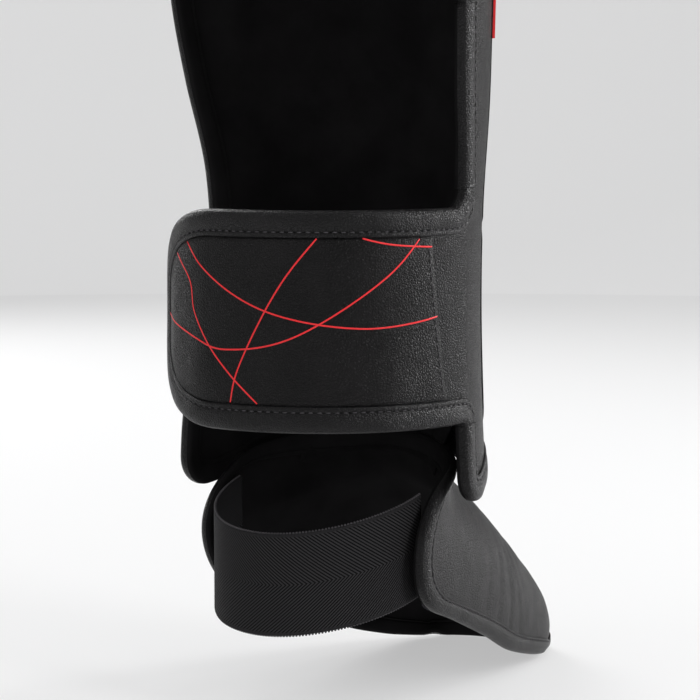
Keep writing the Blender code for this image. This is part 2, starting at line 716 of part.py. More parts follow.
def instep_grid():
    """(across, down) at each corner of the instep section's grid, with rounded corners."""
    ankle = [ANKLE_CORNER / EDGE_RUN * t for t in (0, 0.06, 0.22, 0.5, 1.0)]
    toe = [1 - TOE_CORNER / EDGE_RUN * t for t in (1.0, 0.5, 0.22, 0.06, 0)]
    middle = [ankle[-1] + (toe[0] - ankle[-1]) * i / INSTEP_ROWS for i in range(1, INSTEP_ROWS)]
    rows = []
    for t in ankle + middle + toe:
        wide = instep_metric((1.0, t))[0]
        half = 1 - wing_inset(t) / wide
        under = half - INSTEP_BINDING_WIDTH / wide
        inside = [under * (2 * j / INSTEP_COLUMNS - 1) for j in range(INSTEP_COLUMNS + 1)]
        rows.append([(across, t) for across in [-half] + inside + [half]])
    return rows


def make_instep(parent):
    grid = instep_grid()
    names = ("instep_lining", "instep_foam", "instep_cover")
    finishes = ("black_lining", "dense_foam", "black_leather")
    for k, (name, finish) in enumerate(zip(names, finishes)):
        inner = [[on_instep(p, instep_layers(p)[k][0]) for p in row] for row in grid]
        outer = [[on_instep(p, instep_layers(p)[k][1]) for p in row] for row in grid]
        slab(name, inner, outer, finish, parent)
    right = [row[-1] for row in grid]
    left = [row[0] for row in grid]
    outline = grid[0] + right[1:-1] + grid[-1][::-1] + left[-2:0:-1]
    sections = binding_sections(
        outline, True, on_instep, instep_metric, instep_thickness, BINDING, INSTEP_BINDING_WIDTH, INSTEP_LIFT
    )
    sweep("instep_edge_binding", sections, True, "binding_leather", parent)


# ---- Heel band ----------------------------------------------------------------------------------
BAND_DOWN = 0.22  # where on the wings' back edges the band is sewn
BAND_COLUMNS = 24
BAND_RISE = 0.007  # from there up to the middle of the band


def wing_inside():
    """The inside of the edge binding at the place where the band is sewn to it."""
    return on_instep((1.0, BAND_DOWN), instep_thickness((1.0, BAND_DOWN))[0] - INSTEP_LIFT - BINDING)


def heel_axis():
    """The line through the two places where the band is sewn on, about which it swings."""
    place = wing_inside()
    return Vector((0, place.y - 0.012, place.z + BAND_RISE))


def make_heel_band(parent):
    """Elastic webbing, upright all round, that runs back from the wings in half an ellipse and sinks
    towards the heel."""
    half = -wing_inside().x - 8 * GAP
    start = heel_axis()
    reach = HEEL_BAND_BACK - start.y
    inner, outer = [], []
    for i in range(BAND_COLUMNS + 1):
        turn = math.pi * (i / BAND_COLUMNS - 0.5)
        sunk = HEEL_BAND_DROP * math.cos(turn)
        place = start + Vector((half * math.sin(turn), reach * math.cos(turn), -sunk))
        normal = Vector((math.sin(turn) / half, math.cos(turn) / reach, 0)).normalized()
        for rows, offset in ((inner, -HEEL_BAND), (outer, 0.0)):
            middle = place + normal * offset
            rows.append([middle + Vector((0, 0, HEEL_BAND_WIDTH * s)) for s in (-0.5, 0, 0.5)])
    slab("heel_band", inner, outer, "black_elastic", parent)


def main():
    for old in list(bpy.data.objects):
        bpy.data.objects.remove(old, do_unlink=True)
    shin = empty("shin")
    make_shin_layers(shin)
    make_shin_bindings(shin)
    make_front(shin)
    make_gusset(shin)
    for word, low in zip(("lower", "upper"), strap_bottoms()):
        make_strap_root(word, low, shin)
        make_tab(word, low, shin)
        pivot = empty(f"{word}_strap", strap_hinge_place(low), shin)
        make_strap(word, low, pivot)
    instep = empty("instep", (0, -RIDGE_START, INSTEP_TOP), shin)
    make_instep(instep)
    band = empty("heel_band_pivot", heel_axis(), instep)
    make_heel_band(band)


main()
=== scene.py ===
"""Looks for the martial-arts shin and instep guard: fine skins, folded bindings with stitches, printed
curves, herringbone elastic and a cloth gusset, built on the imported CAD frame.

Metres, +Z up, toes towards -Y, the leg's axis at x = y = 0.
"""

import json
import math

import bpy
from mathutils import Matrix, Vector, noise


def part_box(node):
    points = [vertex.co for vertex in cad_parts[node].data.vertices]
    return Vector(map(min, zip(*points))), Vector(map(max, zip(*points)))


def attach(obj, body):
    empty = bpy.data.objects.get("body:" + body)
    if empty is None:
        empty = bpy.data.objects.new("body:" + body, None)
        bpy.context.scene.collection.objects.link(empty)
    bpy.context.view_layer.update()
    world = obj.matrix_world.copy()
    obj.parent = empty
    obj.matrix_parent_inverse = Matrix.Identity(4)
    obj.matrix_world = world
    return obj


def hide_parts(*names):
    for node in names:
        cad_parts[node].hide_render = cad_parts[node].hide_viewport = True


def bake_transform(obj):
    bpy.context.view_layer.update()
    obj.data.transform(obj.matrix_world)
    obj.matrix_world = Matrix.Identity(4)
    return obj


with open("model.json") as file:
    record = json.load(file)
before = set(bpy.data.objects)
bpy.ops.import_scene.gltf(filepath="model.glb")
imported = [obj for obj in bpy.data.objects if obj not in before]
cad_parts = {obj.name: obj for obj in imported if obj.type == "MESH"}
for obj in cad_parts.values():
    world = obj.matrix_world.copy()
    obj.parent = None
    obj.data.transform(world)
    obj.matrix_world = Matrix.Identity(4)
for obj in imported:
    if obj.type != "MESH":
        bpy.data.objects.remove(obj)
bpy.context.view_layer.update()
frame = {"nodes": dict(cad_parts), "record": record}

# ---- Sizes, as the CAD model has them -----------------------------------------------------------
LEG_HALF_WIDTH = 0.069
WING_BOTTOM, SHIN_LENGTH = 0.1015, 0.3815
TOP_SIDE = WING_BOTTOM + SHIN_LENGTH
CROWN_RISE, ANKLE_ARCH, CLOSING_RISE = 0.020, 0.027, 0.004
BOTTOM_CORNER, TOP_CORNER = 0.016, 0.026
STRAP_WIDTH, STRAP_LENGTH, STRAP_HINGE = 0.101, 0.199, 0.011
STRAP_CORNER, STRAP_CORNER_RUN = 0.041, 0.056
PANEL_START, PANEL_LEAN = 0.0125, 0.005
STRAP_LOWS = {"lower": WING_BOTTOM + 0.046, "upper": TOP_SIDE - 0.029 - STRAP_WIDTH}
TOE_REACH, TOE_HEIGHT, TOE_TURN = 0.174, 0.0375, 0.019
WING_HALF_WIDTH, WING_BACK, CLOSING_WING_EXTRA = 0.0645, 0.0095, 0.009
RIDGE_START = 0.0612
LINING = LEATHER = 0.0012
EDGE_FOAM, FOAM, EDGE_TAPER = 0.0009, 0.0030, 0.024
GAP, PANEL_GAP = 0.0003, 0.0005
BINDING_WIDTH, INSTEP_BINDING_WIDTH = 0.0105, 0.0085
COVER_FACE = LINING + 2 * FOAM + LEATHER + 3 * GAP
STRAP_DEPTH = 0.0008 + 0.0022 + 0.0010 + 2 * GAP
INSTEP_FOAM, WING_FOAM = 0.0080, 0.0016
FRONT_PAD_HALF = math.radians(44)

WIDTH_STATIONS = [(0, 1.04), (0.109, 1.012), (0.268, 0.989), (0.406, 1.01), (0.654, 1.152)]
WIDTH_STATIONS += [(0.802, 1.188), (1, 1.2)]
CENTRE_STATIONS = [(0.367, 0.0), (0.505, 0.045), (0.654, 0.16), (0.802, 0.215), (1.0, 0.24)]
FRONT_DEPTH_RATIO = 0.98
HINGE_WRAP = [(0.0, 83), (0.307, 83), (0.426, 84), (0.555, 88), (1.0, 88)]
CLOSING_WRAP = [(0.0, 102), (0.109, 101), (0.307, 86), (0.426, 84), (0.555, 88), (1.0, 88)]

RIDGE_FORWARD = [(0, 0.0), (0.12, 0.039), (0.25, 0.148), (0.4, 0.289), (0.7, 0.633), (0.8, 0.781)]
RIDGE_FORWARD += [(0.9, 0.914), (1, 1.0)]
RIDGE_UP = [(0, 1.0), (0.12, 0.90), (0.25, 0.77), (0.4, 0.62), (0.7, 0.30), (0.8, 0.17), (0.9, -0.02), (1, -0.36)]
EDGE_BACK = [(0, -1.3), (0.08, 0.0), (0.16, 0.75), (0.24, 1.0), (0.33, 0.75), (0.42, -0.3), (0.5, -2.6)]
EDGE_BACK += [(0.6, -6.3), (0.7, -9.5), (0.8, -12.4), (0.9, -14.5), (1.0, -15.9)]
EDGE_UP = [(0, 0.869), (0.08, 0.766), (0.16, 0.667), (0.24, 0.568), (0.33, 0.484), (0.42, 0.413), (0.5, 0.348)]
EDGE_UP += [(0.6, 0.237), (0.7, 0.133), (0.8, 0.072), (0.9, 0.040), (1, 0.019)]
EDGE_HALF = [(0, 1.0), (0.3, 1.026), (0.45, 1.01), (0.6, 0.92), (0.8, 0.76), (0.9, 0.69), (1.0, 0.56)]
SQUARENESS = [(0, 1.14), (0.12, 1.08), (0.4, 0.80), (1.0, 0.80)]
INSTEP_TOP = WING_BOTTOM + ANKLE_ARCH + 0.002
ANKLE_CORNER, TOE_CORNER, EDGE_RUN = 0.013, 0.010, 0.24


def through(stations, x):
    """Smooth curve through (x, y) stations in rising x, flat beyond both ends."""
    if x <= stations[0][0]:
        return stations[0][1]
    if x >= stations[-1][0]:
        return stations[-1][1]
    last = len(stations) - 1
    i = max(k for k in range(last) if stations[k][0] <= x)

    def slope(k):
        low, high = max(k - 1, 0), min(k + 1, last)
        return (stations[high][1] - stations[low][1]) / (stations[high][0] - stations[low][0])

    (x0, y0), (x1, y1) = stations[i], stations[i + 1]
    span = x1 - x0
    t = (x - x0) / span
    return y0 + (y1 - y0) * t * t * (3 - 2 * t) + span * t * (1 - t) * (slope(i) * (1 - t) - slope(i + 1) * t)


def bump(x, half_width):
    return 0.5 * (1 + math.cos(math.pi * min(1.0, abs(x) / half_width)))


def corner_inset(distance, radius, depth=None):
    if depth is not None:
        return corner_inset(distance / radius, 1.0) * depth
    inside = min(radius, max(0.0, radius - distance))
    return radius - math.sqrt(radius**2 - inside**2)


def ease(t):
    t = max(0.0, min(1.0, t))
    return t * t * (3 - 2 * t)


# ---- Surfaces the pieces lie on -----------------------------------------------------------------
def up_the_shin(z):
    return (z - WING_BOTTOM) / SHIN_LENGTH


def leg_point(angle, z, offset=0.0):
    share = up_the_shin(z)
    half_width = LEG_HALF_WIDTH * through(WIDTH_STATIONS, share)
    depth = half_width * (FRONT_DEPTH_RATIO if math.cos(angle) > 0 else 1.0)
    centre = LEG_HALF_WIDTH * through(CENTRE_STATIONS, share)
    normal = Vector((-math.sin(angle) / half_width, -math.cos(angle) / depth)).normalized()
    return Vector((-half_width * math.sin(angle) + offset * normal.x, centre - depth * math.cos(angle) + offset * normal.y, z))


def leg_radius(z):
    return LEG_HALF_WIDTH * through(WIDTH_STATIONS, up_the_shin(z)) + COVER_FACE


def shin_wrap(z, stations=HINGE_WRAP):
    wrap = math.radians(through(stations, up_the_shin(z)))
    drawn_in = corner_inset(z - WING_BOTTOM, BOTTOM_CORNER) + corner_inset(TOP_SIDE - z, TOP_CORNER)
    return wrap - drawn_in / LEG_HALF_WIDTH


def shin_height(angle, side_height):
    share = up_the_shin(side_height)
    arch = ANKLE_ARCH * bump(angle, math.radians(88)) ** 0.58 * (1 - share) ** 3
    closing = CLOSING_RISE * ease(-angle / math.radians(60)) * bump(share, 0.115)
    return side_height + arch + CROWN_RISE * bump(angle, math.radians(85)) * share**3 + closing


def shin_faces(place):
    """Offsets of the shin section's inside and outside."""
    angle, z = place
    to_edge = (shin_wrap(z, HINGE_WRAP if angle > 0 else CLOSING_WRAP) - abs(angle)) * leg_radius(z)
    full = ease((to_edge - BINDING_WIDTH) / EDGE_TAPER)
    front = bump(angle, math.radians(70))
    foam = 2 * (EDGE_FOAM + (FOAM - EDGE_FOAM) * full) + 0.007 * front
    outside = COVER_FACE + 0.007 * front
    return outside - LEATHER - LINING - foam - 3 * GAP, outside


def on_leg(place, offset):
    return leg_point(place[0], place[1], offset)


def leg_metric(place):
    return leg_radius(place[1]), 1.0


def strap_angles(low):
    radius = leg_radius(low + STRAP_WIDTH / 2)
    edge = shin_wrap(low + STRAP_WIDTH / 2)
    return edge, edge + STRAP_HINGE / radius, edge + STRAP_LENGTH / radius, radius


def instep_face(u, v):
    turn = u * math.pi / 2
    power = through(SQUARENESS, v)
    side = math.copysign(abs(math.sin(turn)) ** power, turn)
    drop = 1 - max(0.0, math.cos(turn)) ** power
    ridge_y = -RIDGE_START - (TOE_REACH - RIDGE_START) * through(RIDGE_FORWARD, v)
    ridge_z = TOE_HEIGHT + (INSTEP_TOP - TOE_HEIGHT) * through(RIDGE_UP, v)
    back = through(EDGE_BACK, v)
    edge_y = back * (WING_BACK if back > 0 else (TOE_REACH - TOE_TURN) / -EDGE_BACK[-1][1])
    edge_y += (CLOSING_WING_EXTRA if u < 0 else 0) * bump(v - 0.1, 0.26)
    edge_z = INSTEP_TOP * through(EDGE_UP, v)
    half = WING_HALF_WIDTH * through(EDGE_HALF, v)
    return Vector((-half * side, ridge_y + (edge_y - ridge_y) * drop, ridge_z + (edge_z - ridge_z) * drop))


def instep_point(across, down, offset=0.0):
    step = 2e-3
    near_u, near_v = max(-0.99, min(0.99, across)), max(0.01, min(0.99, down))
    along = instep_face(near_u + step, near_v) - instep_face(near_u - step, near_v)
    slope = instep_face(near_u, near_v + step) - instep_face(near_u, near_v - step)
    place = instep_face(max(-1.0, min(1.0, across)), max(0.0, min(1.0, down)))
    return place + along.cross(slope).normalized() * offset


def on_instep(place, offset):
    return instep_point(place[0], place[1], offset)


def instep_metric(place):
    step = 0.02
    across, down = max(-1.0, min(1.0, place[0])), max(0.0, min(1.0, place[1]))
    v0, v1 = max(down - step, 0.0), min(down + step, 1.0)
    u0, u1 = max(across - step, -1.0), min(across + step, 1.0)
    return (
        (instep_face(u1, down) - instep_face(u0, down)).length / (u1 - u0),
        (instep_face(across, v1) - instep_face(across, v0)).length / (v1 - v0),
    )


def wing_inset(down):
    return corner_inset(down * EDGE_RUN, ANKLE_CORNER) + corner_inset((1 - down) * EDGE_RUN, TOE_CORNER)


def instep_faces(place):
    """Offsets of the instep section's inside and outside."""
    across, down = place
    wide, long = instep_metric(place)
    full = 1.0
    for distance in ((1 - abs(across)) * wide - wing_inset(down), (1 - down) * long, down * long):
        full *= ease((distance - INSTEP_BINDING_WIDTH - 0.001) / EDGE_TAPER)
    foam = WING_FOAM + (INSTEP_FOAM - WING_FOAM) * full
    return -LEATHER - LINING - foam - 2 * GAP, 0.0


# ---- Materials ----------------------------------------------------------------------------------
def new_material(name, base, rough, specular):
    made = bpy.data.materials.new(name)
    made.use_nodes = True
    tree = made.node_tree
    shader = tree.nodes["Principled BSDF"]
    shader.inputs["Base Color"].default_value = (*base, 1)
    shader.inputs["Roughness"].default_value = rough
    shader.inputs["Specular IOR Level"].default_value = specular
    return made, tree, shader


def node(tree, kind, **values):
    made = tree.nodes.new(kind)
    for key, value in values.items():
        if key in made.inputs:
            made.inputs[key].default_value = value
        else:
            setattr(made, key, value)
    return made


def maths(tree, operation, a, b=None):
    made = node(tree, "ShaderNodeMath", operation=operation)
    for socket, value in zip(made.inputs, (a, b)):
        if value is None:
            continue
        if isinstance(value, (int, float)):
            socket.default_value = value
        else:
            tree.links.new(value, socket)
    return made.outputs[0]


def ramp(tree, source, *stops):
    made = node(tree, "ShaderNodeValToRGB")
    tree.links.new(source, made.inputs["Fac"])
    elements = made.color_ramp.elements
    while len(elements) < len(stops):
        elements.new(0.5)
    for element, (at, colour) in zip(elements, stops):
        element.position = at
        element.color = (*colour, 1) if len(colour) == 3 else colour
    return made.outputs["Color"]


def grey(x):
    return (x, x, x)


def bumped(tree, shader, *heights):
    """Chains bump nodes: (height socket, metres, strength)."""
    normal = None
    for height, distance, strength in heights:
        made = node(tree, "ShaderNodeBump", Distance=distance, Strength=strength)
        tree.links.new(height, made.inputs["Height"])
        if normal:
            tree.links.new(normal, made.inputs["Normal"])
        normal = made.outputs["Normal"]
    tree.links.new(normal, shader.inputs["Normal"])


def object_noise(tree, scale, detail=3.0, roughness=0.5):
    place = node(tree, "ShaderNodeTexCoord").outputs["Object"]
    made = node(tree, "ShaderNodeTexNoise", Scale=scale, Detail=detail, Roughness=roughness)
    tree.links.new(place, made.inputs["Vector"])
    return made.outputs["Fac"]


def leather(name, dark, light, rough, specular, cell=0.0011, grain=0.00022, creases=0.0009):
    made, tree, shader = new_material(name, dark, rough, specular)
    place = node(tree, "ShaderNodeTexCoord").outputs["Object"]
    wander = node(tree, "ShaderNodeTexNoise", Scale=700.0, Detail=2.0)
    tree.links.new(place, wander.inputs["Vector"])
    moved = node(tree, "ShaderNodeVectorMath", operation="MULTIPLY_ADD")
    tree.links.new(wander.outputs["Color"], moved.inputs[0])
    moved.inputs[1].default_value = (0.0006,) * 3
    tree.links.new(place, moved.inputs[2])
    cells = node(tree, "ShaderNodeTexVoronoi", feature="DISTANCE_TO_EDGE", Scale=1 / cell)
    tree.links.new(moved.outputs[0], cells.inputs["Vector"])
    pebbles = ramp(tree, cells.outputs["Distance"], (0.0, grey(0)), (0.09, grey(0.75)), (0.35, grey(1)))
    soft = object_noise(tree, 90.0, 4.0)
    blotch = object_noise(tree, 28.0, 3.0)
    colour = ramp(tree, blotch, (0.35, dark), (0.70, light))
    tree.links.new(colour, shader.inputs["Base Color"])
    tree.links.new(maths(tree, "ADD", maths(tree, "MULTIPLY", soft, 0.22), rough - 0.11), shader.inputs["Roughness"])
    bumped(tree, shader, (soft, creases, 0.5), (pebbles, grain, 1.0))
    return made


def cloth(name, base, thread, rough=0.95, specular=0.08, depth=0.00012):
    """Brushed cloth: fine crossing threads under a soft nap."""
    made, tree, shader = new_material(name, base, rough, specular)
    nap = object_noise(tree, 0.6 / thread, 5.0, 0.7)
    wide = object_noise(tree, 40.0, 3.0)
    lighter = tuple(c * 1.6 for c in base)
    tree.links.new(ramp(tree, wide, (0.3, base), (0.75, lighter)), shader.inputs["Base Color"])
    bumped(tree, shader, (wide, 0.0005, 0.25), (nap, depth, 0.8))
    return made


def herringbone(name, base, light, half_width, pitch=0.0021):
    """Elastic webbing. UV is in metres: along the band and up it from its lower edge."""
    made, tree, shader = new_material(name, base, 0.75, 0.10)
    uv = node(tree, "ShaderNodeUVMap").outputs["UV"]
    split = node(tree, "ShaderNodeSeparateXYZ")
    tree.links.new(uv, split.inputs[0])
    along, up = split.outputs[0], split.outputs[1]
    from_middle = maths(tree, "ABSOLUTE", maths(tree, "SUBTRACT", up, half_width))
    slanted = maths(tree, "ADD", along, maths(tree, "MULTIPLY", from_middle, -1.25))
    twill = maths(tree, "SINE", maths(tree, "MULTIPLY", slanted, 2 * math.pi / pitch))
    weft = maths(tree, "SINE", maths(tree, "MULTIPLY", up, 2 * math.pi / 0.0009))
    warp = maths(tree, "SINE", maths(tree, "MULTIPLY", along, 2 * math.pi / 0.0011))
    yarn = maths(tree, "MULTIPLY", weft, maths(tree, "ABSOLUTE", warp))
    rib = ramp(tree, maths(tree, "ADD", maths(tree, "MULTIPLY", twill, 0.5), 0.5), (0.25, grey(0)), (0.6, grey(1)))
    near_edge = ramp(tree, maths(tree, "DIVIDE", from_middle, half_width), (0.93, grey(0)), (0.95, grey(1)))
    mixed = node(tree, "ShaderNodeMix", data_type="RGBA")
    tree.links.new(near_edge, mixed.inputs["Factor"])
    tree.links.new(rib, mixed.inputs[6])
    tree.links.new(ramp(tree, maths(tree, "ABSOLUTE", warp), (0.2, grey(0)), (0.7, grey(1))), mixed.inputs[7])
    pattern = mixed.outputs[2]
    tree.links.new(ramp(tree, pattern, (0.0, base), (1.0, light)), shader.inputs["Base Color"])
    bumped(tree, shader, (pattern, 0.00045, 0.8), (yarn, 0.00012, 0.5))
    return made


def fuzzy(name, base, scale, depth, specular=0.05):
    made, tree, shader = new_material(name, base, 1.0, specular)
    dots = node(tree, "ShaderNodeTexVoronoi", Scale=scale)
    tree.links.new(node(tree, "ShaderNodeTexCoord").outputs["Object"], dots.inputs["Vector"])
    tree.links.new(ramp(tree, dots.outputs["Distance"], (0, tuple(3 * c for c in base)), (0.6, base)), shader.inputs["Base Color"])
    bumped(tree, shader, (dots.outputs["Distance"], depth, 0.9))
    return made


BLACK = leather("grained_leather", (0.0052, 0.0048, 0.0053), (0.0092, 0.0084, 0.0091), 0.40, 0.17, 0.0013, 0.0004)
PRINTED = leather("printed_leather", (0.0050, 0.0046, 0.0050), (0.0095, 0.0086, 0.0092), 0.37, 0.17, 0.0013, 0.0005)
TAPE = leather("tape_leather", (0.0048, 0.0045, 0.0049), (0.0085, 0.0078, 0.0086), 0.33, 0.24, 0.0013, 0.0004, 0.0014)
# The instep's leather is the black leather made lighter: painted light, standing in for the light on the instep's lit
# side.
LIT_INSTEP_LEATHER = leather("instep_leather_painted_light", (0.0070, 0.0065, 0.0070), (0.0115, 0.0106, 0.0114), 0.42, 0.22, 0.0013, 0.0003)
INSIDE = cloth("brushed_lining", (0.0085, 0.0082, 0.0086), 0.0006, specular=0.03)
THREAD = cloth("thread", (0.045, 0.042, 0.046), 0.0002, 0.6, 0.3, 0.00005)
SOFT = fuzzy("soft_foam", (0.10, 0.10, 0.11), 1400.0, 0.0002)
DENSE = fuzzy("dense_foam", (0.045, 0.045, 0.05), 2200.0, 0.0001)
PILE = fuzzy("loop_pile", (0.006, 0.006, 0.0065), 1500.0, 0.0005)
HOOKS = fuzzy("hook_tape", (0.008, 0.008, 0.0085), 900.0, 0.0006, 0.3)
ELASTIC = herringbone("herringbone_elastic", (0.0018, 0.0018, 0.0019), (0.0330, 0.0320, 0.0340), 0.025)
RED = leather("red_print", (0.86, 0.026, 0.032), (0.90, 0.032, 0.038), 0.45, 0.3, 0.0012, 0.00006)


# ---- Mesh builders ------------------------------------------------------------------------------
def build(name, points, faces, materials, uvs=None, face_material=None):
    mesh = bpy.data.meshes.new(name)
    mesh.from_pydata([tuple(p) for p in points], [], faces)
    for m in materials:
        mesh.materials.append(m)
    if face_material:
        mesh.polygons.foreach_set("material_index", face_material)
    if uvs:
        layer = mesh.uv_layers.new(name="UVMap")
        for loop in mesh.loops:
            layer.data[loop.index].uv = uvs[loop.vertex_index]
    mesh.shade_smooth()
    mesh.validate()
    made = bpy.data.objects.new(name, mesh)
    bpy.context.scene.collection.objects.link(made)
    return made


def outward(obj):
    """Turns the faces outwards, by the sign of the enclosed volume."""
    mesh = obj.data
    volume = 0.0
    for polygon in mesh.polygons:
        first, *rest = [mesh.vertices[i].co for i in polygon.vertices]
        for a, b in zip(rest, rest[1:]):
            volume += first.dot(a.cross(b))
    if volume < 0:
        mesh.flip_normals()
    return obj


def slab(name, inner, outer, material):
    """A closed layer between two matching grids, with UV in metres."""
    rows, columns = len(inner), len(inner[0])
    points = [p for row in inner for p in row] + [p for row in outer for p in row]
    count = rows * columns
    up, along = [0.0], [0.0]
    for i in range(1, rows):
        up.append(up[-1] + (outer[i][columns // 2] - outer[i - 1][columns // 2]).length)
    for j in range(1, columns):
        along.append(along[-1] + (outer[rows // 2][j] - outer[rows // 2][j - 1]).length)
    uvs = [(along[j], up[i]) for i in range(rows) for j in range(columns)] * 2

    def at(i, j, top):
        return (count if top else 0) + i * columns + j

    faces = []
    for i in range(rows - 1):
        for j in range(columns - 1):
            faces.append((at(i, j, 0), at(i + 1, j, 0), at(i + 1, j + 1, 0), at(i, j + 1, 0)))
            faces.append((at(i, j, 1), at(i, j + 1, 1), at(i + 1, j + 1, 1), at(i + 1, j, 1)))
    for i in range(rows - 1):
        for j, flip in ((0, False), (columns - 1, True)):
            face = (at(i, j, 0), at(i, j, 1), at(i + 1, j, 1), at(i + 1, j, 0))
            faces.append(face[::-1] if flip else face)
    for j in range(columns - 1):
        for i, flip in ((0, True), (rows - 1, False)):
            face = (at(i, j, 0), at(i, j, 1), at(i, j + 1, 1), at(i, j + 1, 0))
            faces.append(face[::-1] if flip else face)
    return outward(build(name, points, faces, [material], uvs))


def lengths(points):
    total = [0.0]
    for a, b in zip(points, points[1:]):
        total.append(total[-1] + (Vector(b) - Vector(a)).length)
    return total


def evenly(places, point_at, spacing, closed=False):
    """Places along an outline, resampled to an even spacing on the surface."""
    if closed:
        places = places + places[:1]
    total = lengths([point_at(p, 0.0) for p in places])
    count = max(2, round(total[-1] / spacing))
    found, k = [], 0
    for i in range(count + (0 if closed else 1)):
        want = total[-1] * i / count
        while k < len(total) - 2 and total[k + 1] < want:
            k += 1
        span = total[k + 1] - total[k]
        t = 0 if span == 0 else (want - total[k]) / span
        (a, b), (c, d) = places[k], places[k + 1]
        found.append((a + (c - a) * t, b + (d - b) * t))
    return found


def moved_in(outline, i, distance, closed, metric, reach=2):
    count = len(outline)
    before = outline[(i - reach) % count] if closed else outline[max(0, i - reach)]
    after = outline[(i + reach) % count] if closed else outline[min(count - 1, i + reach)]
    here = outline[i]
    scale = metric(here)
    direction = Vector([(after[k] - before[k]) * scale[k] for k in (0, 1)]).normalized()
    return here[0] - direction.y * distance / scale[0], here[1] + direction.x * distance / scale[1]


# Across the folded tape's outer leg: share of the width from the edge, and height over the leather.
LEG_PROFILE = [(1.0, 0.00010), (0.985, 0.00075), (0.92, 0.00110), (0.80, 0.00105), (0.765, 0.00080), (0.74, 0.00025), (0.715, 0.00080), (0.68, 0.00105), (0.5, 0.00150), (0.25, 0.00155), (0.08, 0.0014)]


def tape(name, outline, closed, point_at, metric, faces_at, width, puff=0.0009, wrinkle=None, stitched=True):
    """Tape folded over an edge, with a row of stitches on its outer leg. The leg that shows inside is
    lining cloth. Returns the tape and its stitches."""
    count = len(outline)
    edges = [[point_at(place, offset) for offset in faces_at(place)] for place in outline]
    sections, seam = [], []
    for i, (inner_edge, outer_edge) in enumerate(edges):
        up = (outer_edge - inner_edge).normalized()
        before = edges[(i - 2) % count] if closed else edges[max(0, i - 2)]
        after = edges[(i + 2) % count] if closed else edges[min(count - 1, i + 2)]
        past = (after[0] + after[1] - before[0] - before[1]).cross(up).normalized()
        outer_leg, inner_leg = [], []
        for share, height in LEG_PROFILE:
            place = moved_in(outline, i, width * share, closed, metric)
            inner, outer = faces_at(place)
            if wrinkle:
                height += wrinkle(point_at(place, outer), share)
            outer_leg.append(point_at(place, outer + height))
            inner_leg.append(point_at(place, inner - 0.6 * height))
            if share == 1.0 and past.dot(outer_edge - outer_leg[0]) < 0:
                past = -past
            if share == 0.74:
                seam.append((point_at(place, outer + 0.00070), up))
        half = (outer_edge - inner_edge).length / 2 + 0.0011
        middle = (outer_edge + inner_edge) / 2
        turn = []
        for degrees in (62, 38, 14, -14, -38, -62):
            a = math.radians(degrees)
            reach = 0.0006 + puff + 0.0012 * math.cos(a)
            turn.append(middle + up * half * math.sin(a) + past * reach * math.cos(a) ** 0.5)
        inside = [inner_edge + up * 0.0001, outer_edge - up * 0.0001]
        sections.append(outer_leg + turn + inner_leg[::-1] + inside)
    corners = len(sections[0])
    points = [p for section in sections for p in section]
    along = lengths([middle for middle, _up in seam])
    across = [0.0008 * k for k in range(corners)]
    uvs = [(along[i], across[k]) for i in range(count) for k in range(corners)]
    faces, kinds = [], []
    first_lining = len(LEG_PROFILE) + 3
    for i in range(count if closed else count - 1):
        here, ahead = i * corners, (i + 1) % count * corners
        for k in range(corners):
            after = (k + 1) % corners
            faces.append((here + k, here + after, ahead + after, ahead + k))
            kinds.append(1 if k >= first_lining else 0)
    if not closed:
        for start in (0, (count - 1) * corners):
            faces.append(tuple(start + k for k in range(corners)))
            kinds.append(0)
    made = outward(build(name, points, faces, [TAPE, INSIDE], uvs, kinds))
    thread = stitches(name + "_stitches", seam, closed) if stitched else None
    return made, thread


def stitches(name, seam, closed, pitch=0.0042, length=0.0025, radius=0.00034):
    """Short raised threads along a seam of (point, up) pairs."""
    line = [p for p, _up in seam] + ([seam[0][0]] if closed else [])
    total = lengths(line)
    count = int(total[-1] / pitch)
    points, faces, k = [], [], 0
    for n in range(count):
        ends = []
        for want in (n * pitch, n * pitch + length):
            while k < len(total) - 2 and total[k + 1] < want:
                k += 1
            t = (want - total[k]) / max(1e-9, total[k + 1] - total[k])
            ends.append(line[k].lerp(line[k + 1], min(1.0, t)))
        up = seam[min(k, len(seam) - 1)][1]
        run = (ends[1] - ends[0]).normalized()
        side = run.cross(up).normalized()
        start = len(points)
        points += [ends[0] - up * radius, ends[1] - up * radius]
        for t, size in ((0.12, 0.8), (0.5, 1.15), (0.88, 0.8)):
            middle = ends[0].lerp(ends[1], t)
            for a, b in ((1, 0.2), (0.45, 0.9), (-0.45, 0.9), (-1, 0.2), (0, -0.8)):
                points.append(middle + (side * a + up * b) * radius * size)
        for r in range(5):
            s = (r + 1) % 5
            faces.append((start, start + 2 + s, start + 2 + r))
            for ring in (2, 7):
                faces.append((start + ring + r, start + ring + s, start + ring + 5 + s, start + ring + 5 + r))
            faces.append((start + 1, start + 12 + r, start + 12 + s))
    return outward(build(name, points, faces, [THREAD]))


def ribbon(name, line, width, point_at, offset, material):
    """A thin raised strip along a smooth line of places, such as a print."""
    count = len(line)
    points, faces = [], []
    for i in range(count):
        before, after = line[max(0, i - 1)], line[min(count - 1, i + 1)]
        scale = leg_metric(line[i])
        run = Vector([(after[k] - before[k]) * scale[k] for k in (0, 1)]).normalized()
        taper = min(1.0, 0.8 + 6 * min(i, count - 1 - i) / count)
        for a, lift in ((-1, -0.00005), (-0.8, 0.00005), (0.8, 0.00005), (1, -0.00005)):
            shift = a * width / 2 * taper
            place = (line[i][0] - run.y * shift / scale[0], line[i][1] + run.x * shift / scale[1])
            points.append(point_at(place, offset(place) + lift))
    for i in range(count - 1):
        for k in range(4):
            s = (k + 1) % 4
            faces.append((i * 4 + k, i * 4 + s, i * 4 + 4 + s, i * 4 + 4 + k))
    faces += [(3, 2, 1, 0), tuple(count * 4 - 4 + k for k in range(4))]
    return outward(build(name, points, faces, [material]))


